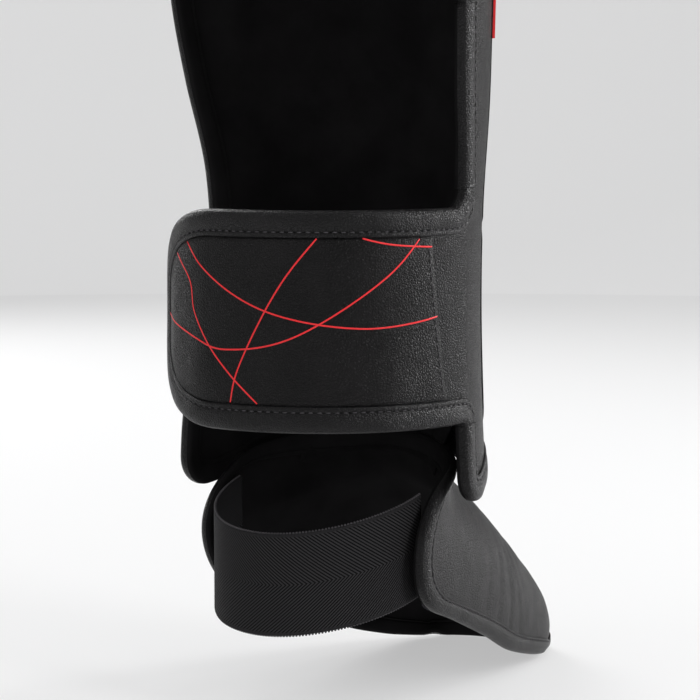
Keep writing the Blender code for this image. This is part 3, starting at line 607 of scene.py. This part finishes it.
def smooth_line(points, count):
    """Catmull-Rom curve through 2-D points."""
    found = []
    last = len(points) - 1
    for n in range(count + 1):
        s = n / count * last
        i = min(int(s), last - 1)
        t = s - i
        p0, p1, p2, p3 = (points[max(0, min(last, i + k))] for k in (-1, 0, 1, 2))
        found.append(
            tuple(
                0.5 * (2 * p1[c] + (p2[c] - p0[c]) * t + (2 * p0[c] - 5 * p1[c] + 4 * p2[c] - p3[c]) * t * t
                       + (3 * p1[c] - p0[c] - 3 * p2[c] + p3[c]) * t**3)
                for c in (0, 1)
            )
        )
    return found


def waves(point, size, seed):
    return noise.noise(point * (1 / size) + Vector((seed, 2.3 * seed, 5.1 * seed)))


# ---- Shin section -------------------------------------------------------------------------------
def shin_rows(count, low=WING_BOTTOM, high=TOP_SIDE):
    """Side heights, closer together inside the rounded corners."""
    found = []
    for i in range(count + 1):
        t = i / count
        t = 0.75 * t + 0.25 * 0.5 * (1 - math.cos(math.pi * t))
        found.append(low + (high - low) * t)
    return found


def fine_shin_grid(columns=96, rows=120):
    grid = []
    for z in shin_rows(rows):
        right, left = shin_wrap(z), shin_wrap(z, CLOSING_WRAP)
        grid.append([(a, shin_height(a, z)) for a in (-left + (right + left) * j / columns for j in range(columns + 1))])
    return grid


def soft_leather(point, amount=0.00035):
    return amount * waves(point, 0.045, 3.0) + 0.4 * amount * waves(point, 0.013, 7.0)


def crumple(point, share=0.5):
    """The tape gathers where the lower strap's top edge turns up the shin section."""
    spot = leg_point(shin_wrap(0.25), 0.2545, COVER_FACE)
    near = ease(1 - (point - spot).length / 0.020)
    return near * (0.0011 * waves(point, 0.0045, 11.0) + 0.0004)


def make_shin():
    grid = fine_shin_grid()
    cover_out, cover_in, lining_out, lining_in = [], [], [], []
    for row in grid:
        faces = [shin_faces(p) for p in row]
        tops = [on_leg(p, f[1]) for p, f in zip(row, faces)]
        cover_out.append([on_leg(p, f[1] + soft_leather(t)) for p, f, t in zip(row, faces, tops)])
        cover_in.append([on_leg(p, f[1] - LEATHER) for p, f in zip(row, faces)])
        lining_out.append([on_leg(p, f[0] + LINING) for p, f in zip(row, faces)])
        lining_in.append([on_leg(p, f[0] - 0.5 * abs(soft_leather(t))) for p, f, t in zip(row, faces, tops)])
    cover = slab("shin_skin", cover_in, cover_out, BLACK)
    lining = slab("shin_inner_cloth", lining_in, lining_out, INSIDE)
    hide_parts("shin_cover")
    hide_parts("shin_lining")
    for piece in (cover, lining):
        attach(piece, "shin")


def edge_places(stations, low, high, sign, count=160):
    found = []
    for i in range(count + 1):
        t = i / count
        t = 0.5 * (1 - math.cos(math.pi * t))
        z = low + (high - low) * t
        a = sign * shin_wrap(z, stations)
        found.append((a, shin_height(a, z)))
    return found


def level_places(z, first, last, count=120):
    return [(a, shin_height(a, z)) for a in (first + (last - first) * i / count for i in range(count + 1))]


FILLET = 0.011  # of the tape, where a strap's edge meets the shin section's edge
LOW_FILLET = 0.004


def finish_tape(pair, node_names, body=None, blend=None):
    made, thread = pair
    if node_names:
        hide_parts(*node_names)
    for piece, slot in ((made, "binding_leather"), (thread, "binding_leather")):
        if blend:
            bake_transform(piece)
        else:
            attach(piece, body)
    return made


def make_shin_tapes():
    low_end = STRAP_LOWS["lower"] - LOW_FILLET
    mid = (STRAP_LOWS["lower"] + STRAP_WIDTH + FILLET, STRAP_LOWS["upper"] - LOW_FILLET)
    high_start = STRAP_LOWS["upper"] + STRAP_WIDTH + FILLET
    path = edge_places(HINGE_WRAP, high_start, TOP_SIDE, 1)
    path += level_places(TOP_SIDE, shin_wrap(TOP_SIDE), -shin_wrap(TOP_SIDE, CLOSING_WRAP))[1:]
    path += edge_places(CLOSING_WRAP, TOP_SIDE, WING_BOTTOM, -1, 300)[1:]
    path += level_places(WING_BOTTOM, -shin_wrap(WING_BOTTOM, CLOSING_WRAP), shin_wrap(WING_BOTTOM))[1:]
    path += edge_places(HINGE_WRAP, WING_BOTTOM, low_end, 1)[1:]
    outline = evenly(path, on_leg, 0.0022)
    pair = tape("shin_tape", outline, False, on_leg, leg_metric, shin_faces, BINDING_WIDTH)
    finish_tape(pair, ["shin_edge_binding"], "shin")
    outline = evenly(edge_places(HINGE_WRAP, *mid, 1), on_leg, 0.0022)
    pair = tape("shin_tape_middle", outline, False, on_leg, leg_metric, shin_faces, BINDING_WIDTH, wrinkle=crumple)
    finish_tape(pair, ["shin_edge_binding_middle"], "shin")


# ---- Front pad ----------------------------------------------------------------------------------
def pad_mesh():
    """The raised pad down the front, a crowned closed form with three sewn channels."""
    margin, corner = BINDING_WIDTH + 0.004, 0.018
    low, high = WING_BOTTOM + margin, TOP_SIDE - margin
    inner, outer = [], []
    for z in shin_rows(96, low, high):
        drawn_in = corner_inset(z - low, corner) + corner_inset(high - z, corner)
        half = FRONT_PAD_HALF - drawn_in / LEG_HALF_WIDTH
        row = [(half * (2 * j / 40 - 1), z) for j in range(41)]
        places = [(a, shin_height(a, z)) for a, _z in row]
        to_edge = [min((half - abs(a)) * 0.08, z - low, high - z) for a, _z in row]
        rise = [0.0012 + (0.0008 + 0.0035 * bump(a, FRONT_PAD_HALF)) * ease(d / 0.014) for (a, _z), d in zip(row, to_edge)]
        inner.append([on_leg(p, shin_faces(p)[1] + 0.0002) for p in places])
        outer.append([on_leg(p, shin_faces(p)[1] + PANEL_GAP + r) for p, r in zip(places, rise)])
    return slab("front_pad", inner, outer, BLACK)


def inflate(obj, cap, frames=20):
    """Blows the piece up a little as cloth under pressure, and keeps what it moved up to a cap."""
    scene = bpy.context.scene
    rest = [v.co.copy() for v in obj.data.vertices]
    modifier = obj.modifiers.new("Cloth", "CLOTH")
    settings = modifier.settings
    settings.use_pressure = True
    settings.uniform_pressure_force = 4.0
    settings.effector_weights.gravity = 0.0
    settings.quality = 6
    settings.tension_stiffness = settings.compression_stiffness = 25
    modifier.collision_settings.use_self_collision = False
    held = obj.vertex_groups.new(name="sewn")
    pinned = [i for i, p in enumerate(rest) if pinned_at(p)]
    held.add(pinned, 1.0, "REPLACE")
    settings.vertex_group_mass = "sewn"
    modifier.point_cache.frame_start, modifier.point_cache.frame_end = 1, frames
    for f in range(1, frames + 1):
        scene.frame_set(f)
    shape = obj.evaluated_get(bpy.context.evaluated_depsgraph_get()).to_mesh()
    moved = [v.co.copy() for v in shape.vertices]
    obj.modifiers.remove(modifier)
    obj.vertex_groups.remove(held)
    scene.frame_set(1)
    for v, a, b in zip(obj.data.vertices, rest, moved):
        step = b - a
        if step.length > cap:
            step *= cap / step.length
        v.co = a + step


def pinned_at(point):
    """The pad is sewn down all round and on two lines across it."""
    angle = math.atan2(-point.x, -point.y)
    share = (point.z - WING_BOTTOM) / SHIN_LENGTH
    at_edge = abs(angle) > FRONT_PAD_HALF * 0.93 or share < 0.065 or share > 0.985
    return at_edge or any(abs(share - line) < 0.004 for line in (0.36, 0.68)) or leg_face_gap(point) < 0.001


def leg_face_gap(point):
    centre = LEG_HALF_WIDTH * through(CENTRE_STATIONS, up_the_shin(point.z))
    angle = math.atan2(-point.x, -(point.y - centre))
    place = (angle, point.z)
    return (point - on_leg(place, shin_faces(place)[1])).dot((on_leg(place, 0.01) - on_leg(place, 0)).normalized())


def make_front():
    pad = pad_mesh()
    inflate(pad, 0.0035)
    for vertex in pad.data.vertices:
        share = (vertex.co.z - WING_BOTTOM) / SHIN_LENGTH
        channel = max(ease(1 - abs(share - line) / 0.014) for line in (0.36, 0.68))
        gap = leg_face_gap(vertex.co)
        if gap > 0.0006:
            outward_way = Vector((vertex.co.x, vertex.co.y, 0)).normalized()
            vertex.co -= outward_way * channel * (gap - 0.0006) * 0.7
    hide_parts("shin_front_pad")
    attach(pad, "shin")
    seams = []
    for line in (0.36, 0.68):
        z = WING_BOTTOM + line * SHIN_LENGTH
        angles = [FRONT_PAD_HALF * 0.9 * (2 * i / 60 - 1) for i in range(61)]
        places = [(a, shin_height(a, z)) for a in angles]
        seams.append([(on_leg(p, shin_faces(p)[1] + 0.0034 + 0.0008 * bump(p[0], FRONT_PAD_HALF)), on_leg(p, 1) - on_leg(p, 0)) for p in places])
    for k, seam in enumerate(seams):
        thread = stitches(f"front_pad_seam_{k}", seam, False)
        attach(thread, "shin")


# ---- Straps -------------------------------------------------------------------------------------
def strap_faces(_place):
    return COVER_FACE - STRAP_DEPTH, COVER_FACE


def strap_half(low, along, margin=0.0):
    """Half the strap's height at this distance from the shin section's edge."""
    to_end = STRAP_LENGTH - margin - along
    return STRAP_WIDTH / 2 - margin - corner_inset(max(0.0, to_end), STRAP_CORNER_RUN - margin, STRAP_CORNER - margin)


def strap_swell(point):
    """Soft vertical swells and small puckers over the padding."""
    return 0.00045 * waves(Vector((point.x, point.y, 0.35 * point.z)), 0.020, 5.0) + 0.0002 * waves(point, 0.009, 9.0)


def make_strap(word):
    low = STRAP_LOWS[word]
    edge, hinge, end, radius = strap_angles(low)
    mid = low + STRAP_WIDTH / 2
    body = f"{word}_strap"
    bend = ("shin", body, leg_point(edge - 0.01, mid, COVER_FACE), leg_point(hinge + 0.10, mid, COVER_FACE))

    def grid(start, stop, margin, columns, rows):
        found = []
        for i in range(columns + 1):
            t = i / columns
            t = 1 - (1 - t) ** 1.35
            found_at = start + (stop - start) * t
            half = strap_half(low, found_at, margin)
            found.append([(edge + found_at / radius, mid + half * (2 * k / rows - 1)) for k in range(rows + 1)])
        return found

    def edge_drop(place, reach):
        along = (place[0] - edge) * radius
        half = strap_half(low, along)
        return 1 - ease(min(half - abs(place[1] - mid), STRAP_LENGTH - along) / reach)

    def strap_top(place):
        """The cover's outside. It starts by lapping over the shin section's cover."""
        lap = 0.0004 * (1 - ease((place[0] - edge) * radius / 0.012))
        return COVER_FACE + strap_swell(on_leg(place, COVER_FACE)) + lap - 0.0003 * edge_drop(place, 0.016)

    skin = grid(-0.0030, STRAP_LENGTH - 0.0002, 0.0, 110, 44)
    outer = [[on_leg(p, strap_top(p)) for p in row] for row in skin]
    inner = [[on_leg(p, COVER_FACE - 0.0004) for p in row] for row in skin]
    cover = slab(f"{word}_strap_skin", inner, outer, BLACK)
    back_out = [[on_leg(p, COVER_FACE - STRAP_DEPTH + 0.0008) for p in row] for row in skin]
    back_in = [[on_leg(p, COVER_FACE - STRAP_DEPTH) for p in row] for row in skin]
    backing = slab(f"{word}_strap_backing", back_in, back_out, INSIDE)
    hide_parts(f"{word}_strap_cover", f"{word}_strap_root")
    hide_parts(f"{word}_strap_lining")
    for piece in (cover, backing):
        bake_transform(piece)

    # The tape comes down the shin section's edge, turns along the strap, round its end and back.
    top, bottom = low + STRAP_WIDTH, low
    path = []
    for i in range(25):
        a = math.pi / 2 * i / 24
        z = top + FILLET - FILLET * math.sin(a)
        path.append((shin_wrap(top + FILLET) + FILLET * (1 - math.cos(a)) / radius, z))
    straight = STRAP_LENGTH - STRAP_CORNER_RUN
    path += [(edge + s / radius, top) for s in (FILLET + 0.003 * k for k in range(1, int((straight - FILLET) / 0.003)))]
    turn = [(edge + s / radius, mid + sign * strap_half(low, s))
            for sign, steps in ((1, range(81)), (-1, range(79, -1, -1)))
            for s in (straight + STRAP_CORNER_RUN * math.sin(math.pi / 2 * k / 80) for k in steps)]
    path += turn
    path += [(edge + s / radius, bottom) for s in (straight - 0.003 * k for k in range(1, int((straight - LOW_FILLET) / 0.003)))]
    for i in range(25):
        a = math.pi / 2 * (1 - i / 24)
        z = bottom - LOW_FILLET + LOW_FILLET * math.sin(a)
        path.append((shin_wrap(bottom - LOW_FILLET) + LOW_FILLET * (1 - math.cos(a)) / radius, z))
    outline = evenly(path[::-1], on_leg, 0.0020)
    crease = crumple if word == "lower" else None
    pair = tape(f"{word}_strap_tape", outline, False, on_leg, leg_metric, strap_faces, BINDING_WIDTH, 0.0007, crease)
    finish_tape(pair, [f"{word}_strap_binding"], blend=bend)

    # The printed panel lies inside the tape, and its near edge is sewn down.
    inset = BINDING_WIDTH + 0.0006
    start = STRAP_HINGE + PANEL_START
    panel = []
    for i in range(97):
        t = i / 96
        row = []
        for k in range(45):
            share = 2 * k / 44 - 1
            first = start + PANEL_LEAN * share
            along = first + (STRAP_LENGTH - inset - first) * (1 - (1 - t) ** 1.35)
            half = strap_half(low, along, inset)
            row.append((edge + along / radius, mid + half * share))
        panel.append(row)

    def panel_face(place):
        """Fuller in the middle, pulled down to the sewing and the tape."""
        along = (place[0] - edge) * radius
        half = strap_half(low, along, inset)
        first = start + PANEL_LEAN * (place[1] - mid) / (STRAP_WIDTH / 2 - inset)
        room = min(half - abs(place[1] - mid), along - first, STRAP_LENGTH - inset - along)
        full = ease(room / 0.012)
        point = on_leg(place, COVER_FACE)
        wide = waves(Vector((point.x, point.y, 0.25 * point.z)), 0.024, 13.0)
        fine = waves(point, 0.008, 17.0)
        return COVER_FACE + 0.0007 + full * (0.0006 + 0.0007 * wide + 0.00012 * fine)

    outer = [[on_leg(p, panel_face(p)) for p in row] for row in panel]
    inner = [[on_leg(p, COVER_FACE - 0.0002) for p in row] for row in panel]
    face = slab(f"{word}_panel", inner, outer, PRINTED)
    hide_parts(f"{word}_print_panel")
    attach(face, body)
    sewing = [(on_leg(p, COVER_FACE + 0.0008), on_leg(p, 1) - on_leg(p, 0)) for p in panel[1]]
    thread = stitches(f"{word}_panel_sewing", sewing[2:-2], False)
    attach(thread, body)
    for k, curve in enumerate(PRINTED_CURVES):
        line = smooth_line(curve, 90)
        inside = []
        for along, up in line:
            along += STRAP_HINGE
            if abs(up) < strap_half(low, along, inset) + 0.0004 and start + PANEL_LEAN * up / 0.04 < along:
                inside.append((edge + along / radius, mid + up))
        mark = ribbon(f"{word}_printed_curve_{k}", inside, 0.0009, on_leg, panel_face, RED)
        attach(mark, body)


# Printed curves: metres along the strap from its hinge line, and up from its middle.
PRINTED_CURVES = [
    [(0.160, 0.046), (0.137, 0.024), (0.101, 0.005), (0.054, -0.003), (0.008, 0.002)],
    [(0.018, 0.047), (0.043, 0.021), (0.087, -0.007), (0.122, -0.014), (0.146, -0.009), (0.190, 0.003)],
    [(0.071, 0.046), (0.094, 0.017), (0.115, -0.022), (0.121, -0.048)],
    [(0.177, 0.040), (0.150, 0.020), (0.144, 0.002), (0.126, -0.020), (0.096, -0.047)],
    [(0.072, 0.045), (0.043, 0.037), (0.010, 0.0345)],
]


# ---- Closing flaps ------------------------------------------------------------------------------
def make_flap(word):
    low = STRAP_LOWS[word]
    mid, radius = low + STRAP_WIDTH / 2, LEG_HALF_WIDTH
    _edge, _hinge, end, _r = strap_angles(low)
    first = end - 0.44 * STRAP_LENGTH / radius
    clear = (3 * GAP + 0.0012) / radius
    corner, margin = STRAP_CORNER * 0.7, STRAP_WIDTH * 0.04
    top = COVER_FACE - STRAP_DEPTH - PANEL_GAP - 0.0012 - PANEL_GAP - 0.0009 - GAP

    def root(z):
        return 2 * math.pi - shin_wrap(z, CLOSING_WRAP) - clear

    rows_out, rows_in = [], []
    for i in range(61):
        t = i / 60
        t = 0.7 * t + 0.3 * 0.5 * (1 - math.cos(math.pi * t))
        half = STRAP_WIDTH / 2 - margin - corner_inset(t * (root(mid) - first) * radius, corner)
        row = []
        for k in range(41):
            z = mid + half * (2 * k / 40 - 1)
            row.append((first + (root(z) - first) * t, z))
        rise = [0.0035 * (1 - ease((root(z) - a) * radius / 0.022)) for a, z in row]
        pinch = [0.0004 * (1 - ease(min(half - abs(z - mid), t * (root(mid) - first) * radius) / 0.002)) for _a, z in row]
        rows_out.append([on_leg(p, top + r - q) for p, r, q in zip(row, rise, pinch)])
        rows_in.append([on_leg(p, top - 0.0013 + r + q) for p, r, q in zip(row, rise, pinch)])
    flap = slab(f"{word}_flap", rows_in, rows_out, BLACK)
    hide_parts(f"{word}_closing_tab")
    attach(flap, "shin")


# ---- Instep section -----------------------------------------------------------------------------
def instep_folds(point):
    """Upright folds low on the sides, between the ankle and the toes, and soft unevenness."""
    low = ease((0.085 - point.z) / 0.03) * ease((point.z - 0.008) / 0.02)
    near = bump(point.y + 0.085, 0.055)
    folds = 0.0
    for k, y in enumerate((-0.048, -0.060, -0.071, -0.083, -0.096, -0.110)):
        drift = y + 0.006 * math.sin(35 * point.z + k)
        folds -= (0.0010 - 0.0001 * k) * math.exp(-(((point.y - drift) / 0.0021) ** 2))
    return low * near * folds + 0.0004 * waves(point, 0.03, 21.0) + 0.00018 * waves(point, 0.010, 23.0)


def make_instep():
    inner_rows, cover_in, cover_out, lining_out = [], [], [], []
    for i in range(101):
        t = i / 100
        t = 0.8 * t + 0.2 * 0.5 * (1 - math.cos(math.pi * t))
        half = 1 - wing_inset(t) / instep_metric((1.0, t))[0]
        row = [(half * (2 * j / 90 - 1), t) for j in range(91)]
        faces = [instep_faces(p) for p in row]
        edges = [ease(min(1 - abs(p[0]) / half, t, 1 - t) / 0.05) for p in row]
        cover_out.append([on_instep(p, e * instep_folds(on_instep(p, 0))) for p, e in zip(row, edges)])
        cover_in.append([on_instep(p, -LEATHER) for p in row])
        lining_out.append([on_instep(p, f[0] + LINING) for p, f in zip(row, faces)])
        inner_rows.append([on_instep(p, f[0]) for p, f in zip(row, faces)])
    # The instep skin takes the lighter leather, which paints in the light on its lit side.
    cover = slab("instep_skin", cover_in, cover_out, LIT_INSTEP_LEATHER)
    lining = slab("instep_inner_cloth", inner_rows, lining_out, INSIDE)
    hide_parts("instep_cover")
    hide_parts("instep_lining")
    for piece in (cover, lining):
        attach(piece, "instep")

    def edge_at(t, sign):
        return sign * (1 - wing_inset(t) / instep_metric((1.0, t))[0]), t

    steps = [0.5 * (1 - math.cos(math.pi * i / 240)) for i in range(241)]
    ends = edge_at(0, 1)[0], edge_at(1, 1)[0]
    outline = [(ends[0] * (2 * i / 100 - 1), 0.0) for i in range(100)]
    outline += [edge_at(t, 1) for t in steps]
    outline += [(ends[1] * (1 - 2 * i / 60), 1.0) for i in range(1, 60)]
    outline += [edge_at(t, -1) for t in reversed(steps)][:-1]
    outline = evenly(outline, on_instep, 0.0020, True)
    pair = tape("instep_tape", outline, True, on_instep, instep_metric, instep_faces, INSTEP_BINDING_WIDTH, 0.0011)
    finish_tape(pair, ["instep_edge_binding"], "instep")


def make_gusset():
    """Cloth that closes the gap over the ankle, from inside the shin section to inside the instep."""
    high, columns, rows = 0.145, 48, 20
    top_edge, low_edge = [], []
    for j in range(columns + 1):
        a = math.radians(41) * (2 * j / columns - 1)
        place = (a, high - 0.006 * (a / math.radians(41)) ** 2)
        top_edge.append(on_leg(place, shin_faces(place)[0] - 0.0009))
        across = a / math.radians(78)
        low_edge.append(on_instep((across, 0.10), instep_faces((across, 0.10))[0] - 0.0009))
    upper, under = [], []
    for i in range(rows + 1):
        t = i / rows
        row = []
        for j in range(columns + 1):
            place = top_edge[j].lerp(low_edge[j], t)
            inward = Vector((-place.x, -place.y, 0)).normalized()
            slack = 0.0018 * math.sin(math.pi * t) * (1 + 0.5 * math.sin(j * 0.9))
            row.append(place + inward * (slack + 0.0006))
        upper.append(row)
        under.append([p + Vector((-p.x, -p.y, 0)).normalized() * 0.0008 for p in row])
    made = slab("ankle_gusset_cloth", under, upper, INSIDE)
    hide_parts("ankle_gusset")
    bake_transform(made)


# ---- Heel band ----------------------------------------------------------------------------------
def make_band():
    low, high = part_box("heel_band")
    width = 0.050
    t = (1.0, 0.22)
    inside = on_instep(t, instep_faces(t)[0] - 0.0014 - 0.0012)
    half = -inside.x - 8 * GAP
    start = Vector((0, inside.y - 0.012, inside.z + 0.007))
    reach = high.y - start.y
    inner, outer = [], []
    columns, rows = 150, 30
    for k in range(rows + 1):
        up = width * (k / rows - 0.5)
        inner_row, outer_row = [], []
        for i in range(columns + 1):
            turn = math.pi * (i / columns - 0.5)
            sunk = 0.0165 * math.cos(turn)
            place = start + Vector((half * math.sin(turn), reach * math.cos(turn), up - sunk))
            normal = Vector((math.sin(turn) / half, math.cos(turn) / reach, 0)).normalized()
            give = 0.0005 * waves(Vector((place.x, place.y, 0.4 * place.z)), 0.03, 31.0) * math.cos(turn)
            outer_row.append(place + normal * (give - 0.0001))
            inner_row.append(place + normal * (give - 0.0016))
        inner.append(inner_row)
        outer.append(outer_row)
    band = slab("heel_elastic", inner, outer, ELASTIC)
    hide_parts("heel_band")
    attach(band, "heel_band")
    for name, row, way in (("top", -1, 1), ("bottom", 0, -1)):
        line = [(a + b) / 2 + Vector((0, 0, way * 0.0001)) for a, b in zip(inner[row], outer[row])]
        seam = [(p, Vector((0, 0, way))) for p in line]
        loops = stitches(f"heel_elastic_{name}_loops", seam, False, 0.0016, 0.0013, 0.0007)
        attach(loops, "heel_band")


# ---- Materials of the CAD pieces that still show ------------------------------------------------
def paint():
    finishes = {
        "soft_foam": SOFT, "dense_foam": DENSE, "hook_tape": HOOKS, "loop_pile": PILE, "red_rubber": RED,
        "black_leather": BLACK, "black_lining": INSIDE, "black_elastic": ELASTIC,
        "binding_leather": TAPE, "printed_leather": PRINTED,
    }
    slots = {s["node"]: s["material_slot"] for s in frame["record"]["subparts"]}
    for name, obj in frame["nodes"].items():
        finish = finishes[slots[name]]
        if not obj.data.materials:
            obj.data.materials.append(finish)
        for k in range(len(obj.data.materials)):
            obj.data.materials[k] = finish


# ---- Room, light and camera ---------------------------------------------------------------------
VIEW = Vector((math.sin(math.radians(35)), -math.cos(math.radians(35)), 0))  # from the camera, level
RIGHT = Vector((-math.cos(math.radians(35)), -math.sin(math.radians(35)), 0))


def pale(name, seen, cast):
    """Pale matte surface with a glow: as strong as `seen` for the camera, and `cast` for everything else."""
    material, tree, shader = new_material(name, (0.42, 0.42, 0.422), 0.9, 0.1)
    camera = node(tree, "ShaderNodeLightPath").outputs["Is Camera Ray"]
    glow = maths(tree, "ADD", maths(tree, "MULTIPLY", camera, seen - cast), cast)
    tree.links.new(glow, shader.inputs["Emission Strength"])
    shader.inputs["Emission Color"].default_value = (1.0, 1.0, 1.003, 1)
    return material


def make_room():
    """A round pale floor that curves up into a wall all the way round."""
    flat, bend, wall, sides = 2.6, 1.2, 2.4, 96
    profile = [(flat * i / 10, 0.0) for i in range(1, 11)]
    profile += [(flat + bend * math.sin(a), bend * (1 - math.cos(a))) for a in (math.pi / 48 * i for i in range(1, 25))]
    profile += [(flat + bend, bend + wall * i / 4) for i in range(1, 5)]
    points = [(0, 0, 0)]
    for out, up in profile:
        points += [(out * math.cos(a), out * math.sin(a), up) for a in (2 * math.pi * k / sides for k in range(sides))]
    faces = [(0, 1 + k, 1 + (k + 1) % sides) for k in range(sides)]
    kinds = [0] * sides
    for i in range(len(profile) - 1):
        for k in range(sides):
            here, after = 1 + i * sides, (k + 1) % sides
            faces.append((here + k, here + sides + k, here + sides + after, here + after))
            kinds.append(1 if i >= 10 else 0)
    build("floor", points, faces, [pale("pale_floor", 0.47, 0.47), pale("pale_wall", 0.50, 0.12)], None, kinds)


def area_light(name, place, target, size, power):
    data = bpy.data.lights.new(name, "AREA")
    data.shape, data.size, data.size_y = "RECTANGLE", size[0], size[1]
    data.energy = power
    lamp = bpy.data.objects.new(name, data)
    lamp.location = place
    lamp.rotation_euler = (Vector(target) - Vector(place)).to_track_quat("-Z", "Y").to_euler()
    lamp.visible_camera = False
    bpy.context.scene.collection.objects.link(lamp)


def make_light():
    """A big soft box overhead, one to each side, and one on the backdrop."""
    world = bpy.data.worlds.new("studio")
    bpy.context.scene.world = world
    world.use_nodes = True
    world.node_tree.nodes["Background"].inputs["Color"].default_value = (1.0, 1.0, 1.0, 1)
    world.node_tree.nodes["Background"].inputs["Strength"].default_value = 0.20
    middle = Vector((0, 0, 0.22))
    area_light("overhead", Vector((0, 0, 2.4)) - VIEW * 0.3, middle, (2.4, 2.4), 20)
    area_light("key", RIGHT * 1.35 - VIEW * 1.1 + Vector((0, 0, 1.0)), middle, (0.55, 1.0), 13)
    area_light("right_strip", RIGHT * 1.8 + VIEW * 0.75 + Vector((0, 0, 0.7)), middle, (0.5, 1.5), 30)
    area_light("left_box", RIGHT * -1.6 - VIEW * 0.9 + Vector((0, 0, 1.1)), middle, (0.7, 1.4), 4)
    area_light("front_box", VIEW * 1.7 - RIGHT * 0.9 + Vector((0, 0, 1.2)), middle, (1.0, 1.4), 22)
    bpy.context.scene.view_settings.view_transform = "Standard"


def make_camera():
    place = VIEW * -1.3 + RIGHT * 0.0125 + Vector((0, 0, 0.305))
    target = RIGHT * 0.0125 + Vector((0, 0, 0.1775))
    data = bpy.data.cameras.new("camera")
    data.lens, data.sensor_width = 133.7, 36.0
    camera = bpy.data.objects.new("camera", data)
    camera.location = place
    camera.rotation_euler = (target - place).to_track_quat("-Z", "Y").to_euler()
    bpy.context.scene.collection.objects.link(camera)
    bpy.context.scene.camera = camera


make_camera()
paint()
make_shin()
make_shin_tapes()
make_front()
for word in ("lower", "upper"):
    make_strap(word)
    make_flap(word)
make_instep()
make_gusset()
make_band()
make_room()
make_light()
